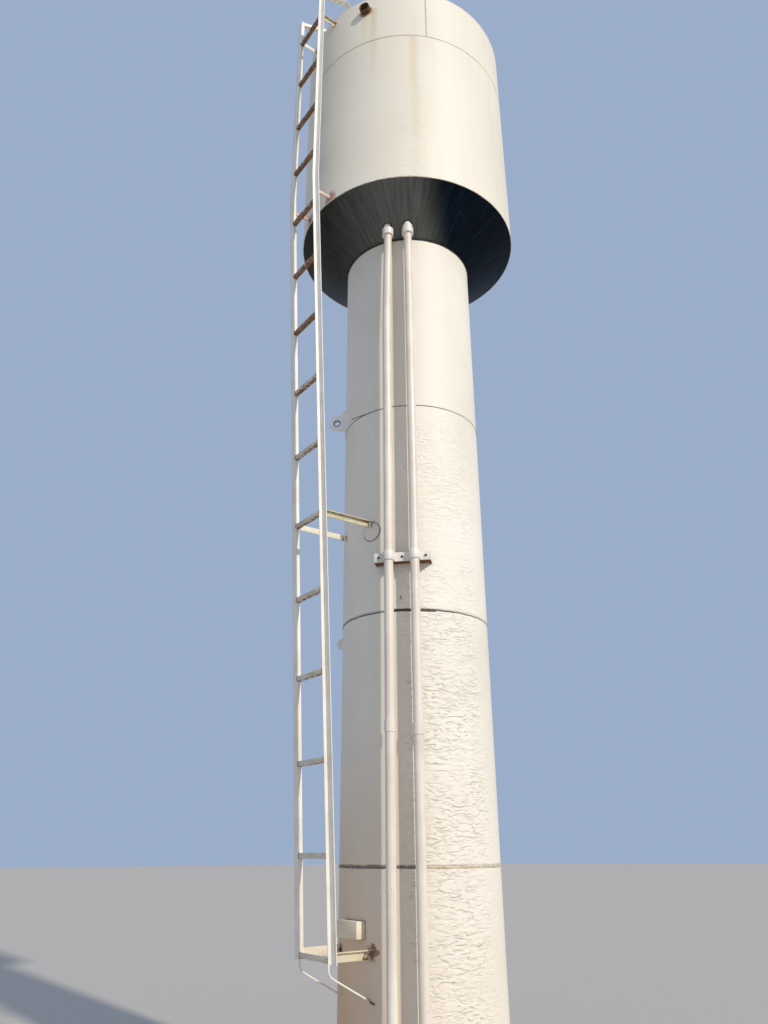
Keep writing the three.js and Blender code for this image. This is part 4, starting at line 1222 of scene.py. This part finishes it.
# The near rod ends in a short rusty foot, bent along the wall and welded there. The steps are millimetres
foot = [on_ladder(ROD_ACROSS + aside * MM, wall_reach(COLUMN_RADIUS, ROD_ACROSS + aside * MM) + off * MM,
                  ROD_FOOT + rise * MM)
        for aside, off, rise in ((0, 22, 25), (0, 4, 12), (6, 2, 8), (26, 2, 0))]
weld("rod_foot", [foot], burnt_bead, "ladder_paint", 5.4, 26.0, wander=0.3, swell=0.15, spacing=6)
print("ladder welds:", len(arm_paths) + len(rung_paths) + len(rim_paths) + 2)

# %% Welds on the fittings
# The bottom, the top and half the thickness of each lug
LUGS = [(4.597, 4.812, 8 * MM), (2.88, 2.96, 6 * MM)]
EYE_REACH, EYE_HEIGHT, EYE_RADIUS = 0.582, 4.687, 25 * MM
COVER_TURN, COVER_LOW, COVER_HIGH = -42.8, 1.133, 1.223
COVER_HALF = math.degrees(99 * MM / COLUMN_RADIUS)
CLAMP_HALF, CLAMP_LOW = 0.185, 3.313
DAUB_RADIUS = RISER_RADIUS + 3 * MM
NAIL_TURN, NAIL_HEIGHT = math.radians(-2.1), 3.078

spout_ring = []
for turn in turns(32) + [0.0]:
    aside = SPOUT_RADIUS * math.cos(turn)
    x, y, height = on_circle(wall_reach(TANK_RADIUS, aside), -SPOUT_AZIMUTH, SPOUT_HEIGHT)
    spout_ring.append((x + aside * math.cos(SPOUT_AZIMUTH), y - aside * math.sin(SPOUT_AZIMUTH),
                       height + SPOUT_RADIUS * math.sin(turn)))
weld("spout_weld", [spout_ring], burnt_bead, "rusty_steel", 4, 27.0, swell=0.6, spacing=7)

lug_paths = [[(-COLUMN_RADIUS, side, bottom), (-COLUMN_RADIUS, side, top)]
             for bottom, top, half in LUGS for side in (-half, half)]
column_weld("lug_welds", lug_paths, pale_bead, 4, 29.0, spacing=8)
# Dark rings round both faces of the lug's eye: rust, and painted shade of the hole's inner wall
eye_rust_and_shade_rings = [[(-EYE_REACH + EYE_RADIUS * math.cos(turn), side, EYE_HEIGHT + EYE_RADIUS * math.sin(turn))
              for turn in turns(24) + [0.0]] for side in (-7.5 * MM, 7.5 * MM)]
column_weld("lug_eye_wear", eye_rust_and_shade_rings, sealant, 3.4, 31.0, wander=0.5, spacing=6)

cover_edges = (COVER_TURN - COVER_HALF, COVER_TURN + COVER_HALF)
cover_paths = [girth(COLUMN_RADIUS, height, *cover_edges, 12) for height in (COVER_LOW, COVER_HIGH)]
cover_paths += [upright(COLUMN_RADIUS, turn, COVER_LOW, COVER_HIGH, 6) for turn in cover_edges]
column_weld("cover_weld", cover_paths, grey_bead, 3, 33.0, spacing=8)

gusset_paths = []
for turn in gusset_turns:
    aside = Vector((math.cos(turn), math.sin(turn), 0)) * (GUSSET_THICKNESS / 2)
    outwards = Vector((math.sin(turn), -math.cos(turn), 0))
    for way in (-1, 1):
        corner = outwards * COLUMN_RADIUS + aside * way + Vector((0, 0, plate_top))
        gusset_paths.append([corner, corner + Vector((0, 0, gusset_top - plate_top))])
        gusset_paths.append([corner, corner + outwards * 0.1])
column_weld("gusset_welds", gusset_paths, pale_bead, 4, 35.0, spacing=9)

clamp_shelf = [(x, -wall_reach(COLUMN_RADIUS, x), CLAMP_LOW + 6 * MM)
               for x in (CLAMP_HALF * (i / 10 - 1) for i in range(21))]
weld("clamp_angle_weld", [clamp_shelf], burnt_bead, "rusty_steel", 3.5, 37.0, spacing=8)


def cone_height(x, y):
    """The height of the cone's underside over a place."""
    share = (math.hypot(x, y) - COLUMN_RADIUS) / (TANK_RADIUS - COLUMN_RADIUS)
    return cone_bottom + (cone_top - cone_bottom) * share


daubs = []
for centre in (-RISER_X + SWAY["left"], RISER_X + SWAY["right"]):
    ring = [(centre + DAUB_RADIUS * math.cos(turn), RISER_Y + DAUB_RADIUS * math.sin(turn))
            for turn in turns(24) + [0.0]]
    daubs.append([(x, y, cone_height(x, y) - MM) for x, y in ring])
weld("bitumen_daubs", daubs, tar_bead, "bitumen_coat", 4.5, 39.0, spacing=8)

nail = [on_circle(reach, NAIL_TURN, NAIL_HEIGHT + rise)
        for reach, rise in ((0.498, 0.0), (0.522, 0.0), (0.527, 0.014))]
column_weld("hook_nail", [nail], burnt_bead, 3, 41.0, wander=0.3, swell=0.2, spacing=5)
print("fitting welds:", len(lug_paths) + len(cover_paths) + len(gusset_paths) + 7)

# %% [markdown]
# ## Bolts
#
# Three bolts hold the clamp to its angle, eight anchor bolts hold the base plate, and six close the hatch.
# A bolt could be modelled once and copied by hand. A tree does the same and keeps its sizes in one place: it
# sets a washer, a nut and the end of the thread on each point, and turns them to face along the point's own
# direction. Each nut stops at a turn of its own.

# %% Bolts
WASHER = 2.5 * MM
# Washer, nut and thread: sides, width in nut radii, and the share of the nut's height and of the
# thread's end that is added to the washer's height
BOLT_PARTS = [(18, 1.45, 0.0, 0.0), (6, 1.0, 1.0, 0.0), (10, 0.52, 1.0, 1.0)]
CLAMP_FRONT, CLAMP_MIDDLE, CLAMP_PITCH = -0.556, 3.344, 0.155
ANCHOR_CIRCLE, ANCHORS = 0.6, 8
HATCH_BOLT_CIRCLE, HATCH_BOLTS = 0.262, 6
HANDLE_HALF, HANDLE_RISE, HANDLE_CORNER = 0.07, 0.045, 0.015
UP = (0, 0, 1)


def build_bolt_tree():
    """A washer, a nut and a thread's end on every point, aimed along the attribute facing."""
    tree, size = geometry_tree("bolt", ("Nut Radius", "Float"), ("Nut Height", "Float"),
                               ("Stick Out", "Float"), ("Seed", "Int"))
    bundle = tree.nodes.new("GeometryNodeJoinGeometry")
    for sides, width, nut_share, end_share in BOLT_PARTS:
        radius = add(tree, "Math", size["Nut Radius"], width, operation="MULTIPLY")
        washer_and_nut = add(tree, "Math", size["Nut Height"], nut_share, WASHER, operation="MULTIPLY_ADD")
        depth = add(tree, "Math", size["Stick Out"], end_share, washer_and_nut, operation="MULTIPLY_ADD")
        part = add(tree, "GeometryNodeMeshCylinder", Vertices=sides, Radius=radius, Depth=depth)
        half = add(tree, "Math", depth, 0.5, operation="MULTIPLY")
        lift = add(tree, "CombineXYZ", Z=half)
        raised = add(tree, "GeometryNodeTransform", part, Translation=lift)
        tree.links.new(raised, bundle.inputs[0])
    facing = add(tree, "GeometryNodeInputNamedAttribute", Name="facing", data_type="FLOAT_VECTOR")
    aimed_out = add(tree, "FunctionNodeAlignRotationToVector", Vector=facing, axis="Z")
    spin = add(tree, "FunctionNodeRandomValue", more={2: 0.0, 3: math.pi / 3}, Seed=size["Seed"], out=1,
               data_type="FLOAT")
    spun = add(tree, "FunctionNodeEulerToRotation", add(tree, "CombineXYZ", Z=spin))
    turned_out = add(tree, "FunctionNodeRotateRotation", aimed_out, spun, rotation_space="LOCAL")
    placed = add(tree, "GeometryNodeInstanceOnPoints", size["Geometry"], Instance=bundle.outputs[0],
                 Rotation=turned_out)
    close_tree(tree, placed, size["Material"])
    return tree


def bolts(name, places, way, slot, radius, height, end, seed):
    """Grows bolts that all face one way on some places. The sizes are millimetres."""
    mesh = bpy.data.meshes.new("bolt_points")
    mesh.from_pydata(places, [], [])
    facing = mesh.attributes.new("facing", "FLOAT_VECTOR", "POINT")
    facing.data.foreach_set("vector", way * len(places))
    return grow(name, bolt_tree, mesh, bolt_steel, slot, Nut_Radius=radius * MM,
                Nut_Height=height * MM, Stick_Out=end * MM, Seed=seed)


bolt_tree = build_bolt_tree()
clamp_bolts = [(x, CLAMP_FRONT, CLAMP_MIDDLE) for x in (-CLAMP_PITCH, 0.0, CLAMP_PITCH)]
bolts("clamp_bolts", clamp_bolts, (0, -1, 0), "rusty_steel", 5.8, 5, 3, 1)
anchors = [on_circle(ANCHOR_CIRCLE, turn, plate_top) for turn in turns(ANCHORS)]
bolts("anchor_bolts", anchors, UP, "rusty_steel", 18, 16, 22, 2)
hatch_bolts = [on_circle(HATCH_BOLT_CIRCLE, turn, cover_peak - 5.5 * MM) for turn in turns(HATCH_BOLTS, 0.5)]
bolts("hatch_bolts", hatch_bolts, UP, "tank_paint", 9, 7, 5, 3)
handle_top = cover_peak + HANDLE_RISE
handle = [(-HANDLE_HALF, 0, cover_peak - 2 * MM), (-HANDLE_HALF, 0, handle_top - HANDLE_CORNER),
          (-HANDLE_HALF + HANDLE_CORNER, 0, handle_top), (HANDLE_HALF - HANDLE_CORNER, 0, handle_top),
          (HANDLE_HALF, 0, handle_top - HANDLE_CORNER), (HANDLE_HALF, 0, cover_peak - 2 * MM)]
weld("hatch_handle", [handle], rail_paint, "tank_paint", 6, 43.0, wander=0.2, swell=0.1, spacing=10)
print("bolts:", len(clamp_bolts) + len(anchors) + len(hatch_bolts))
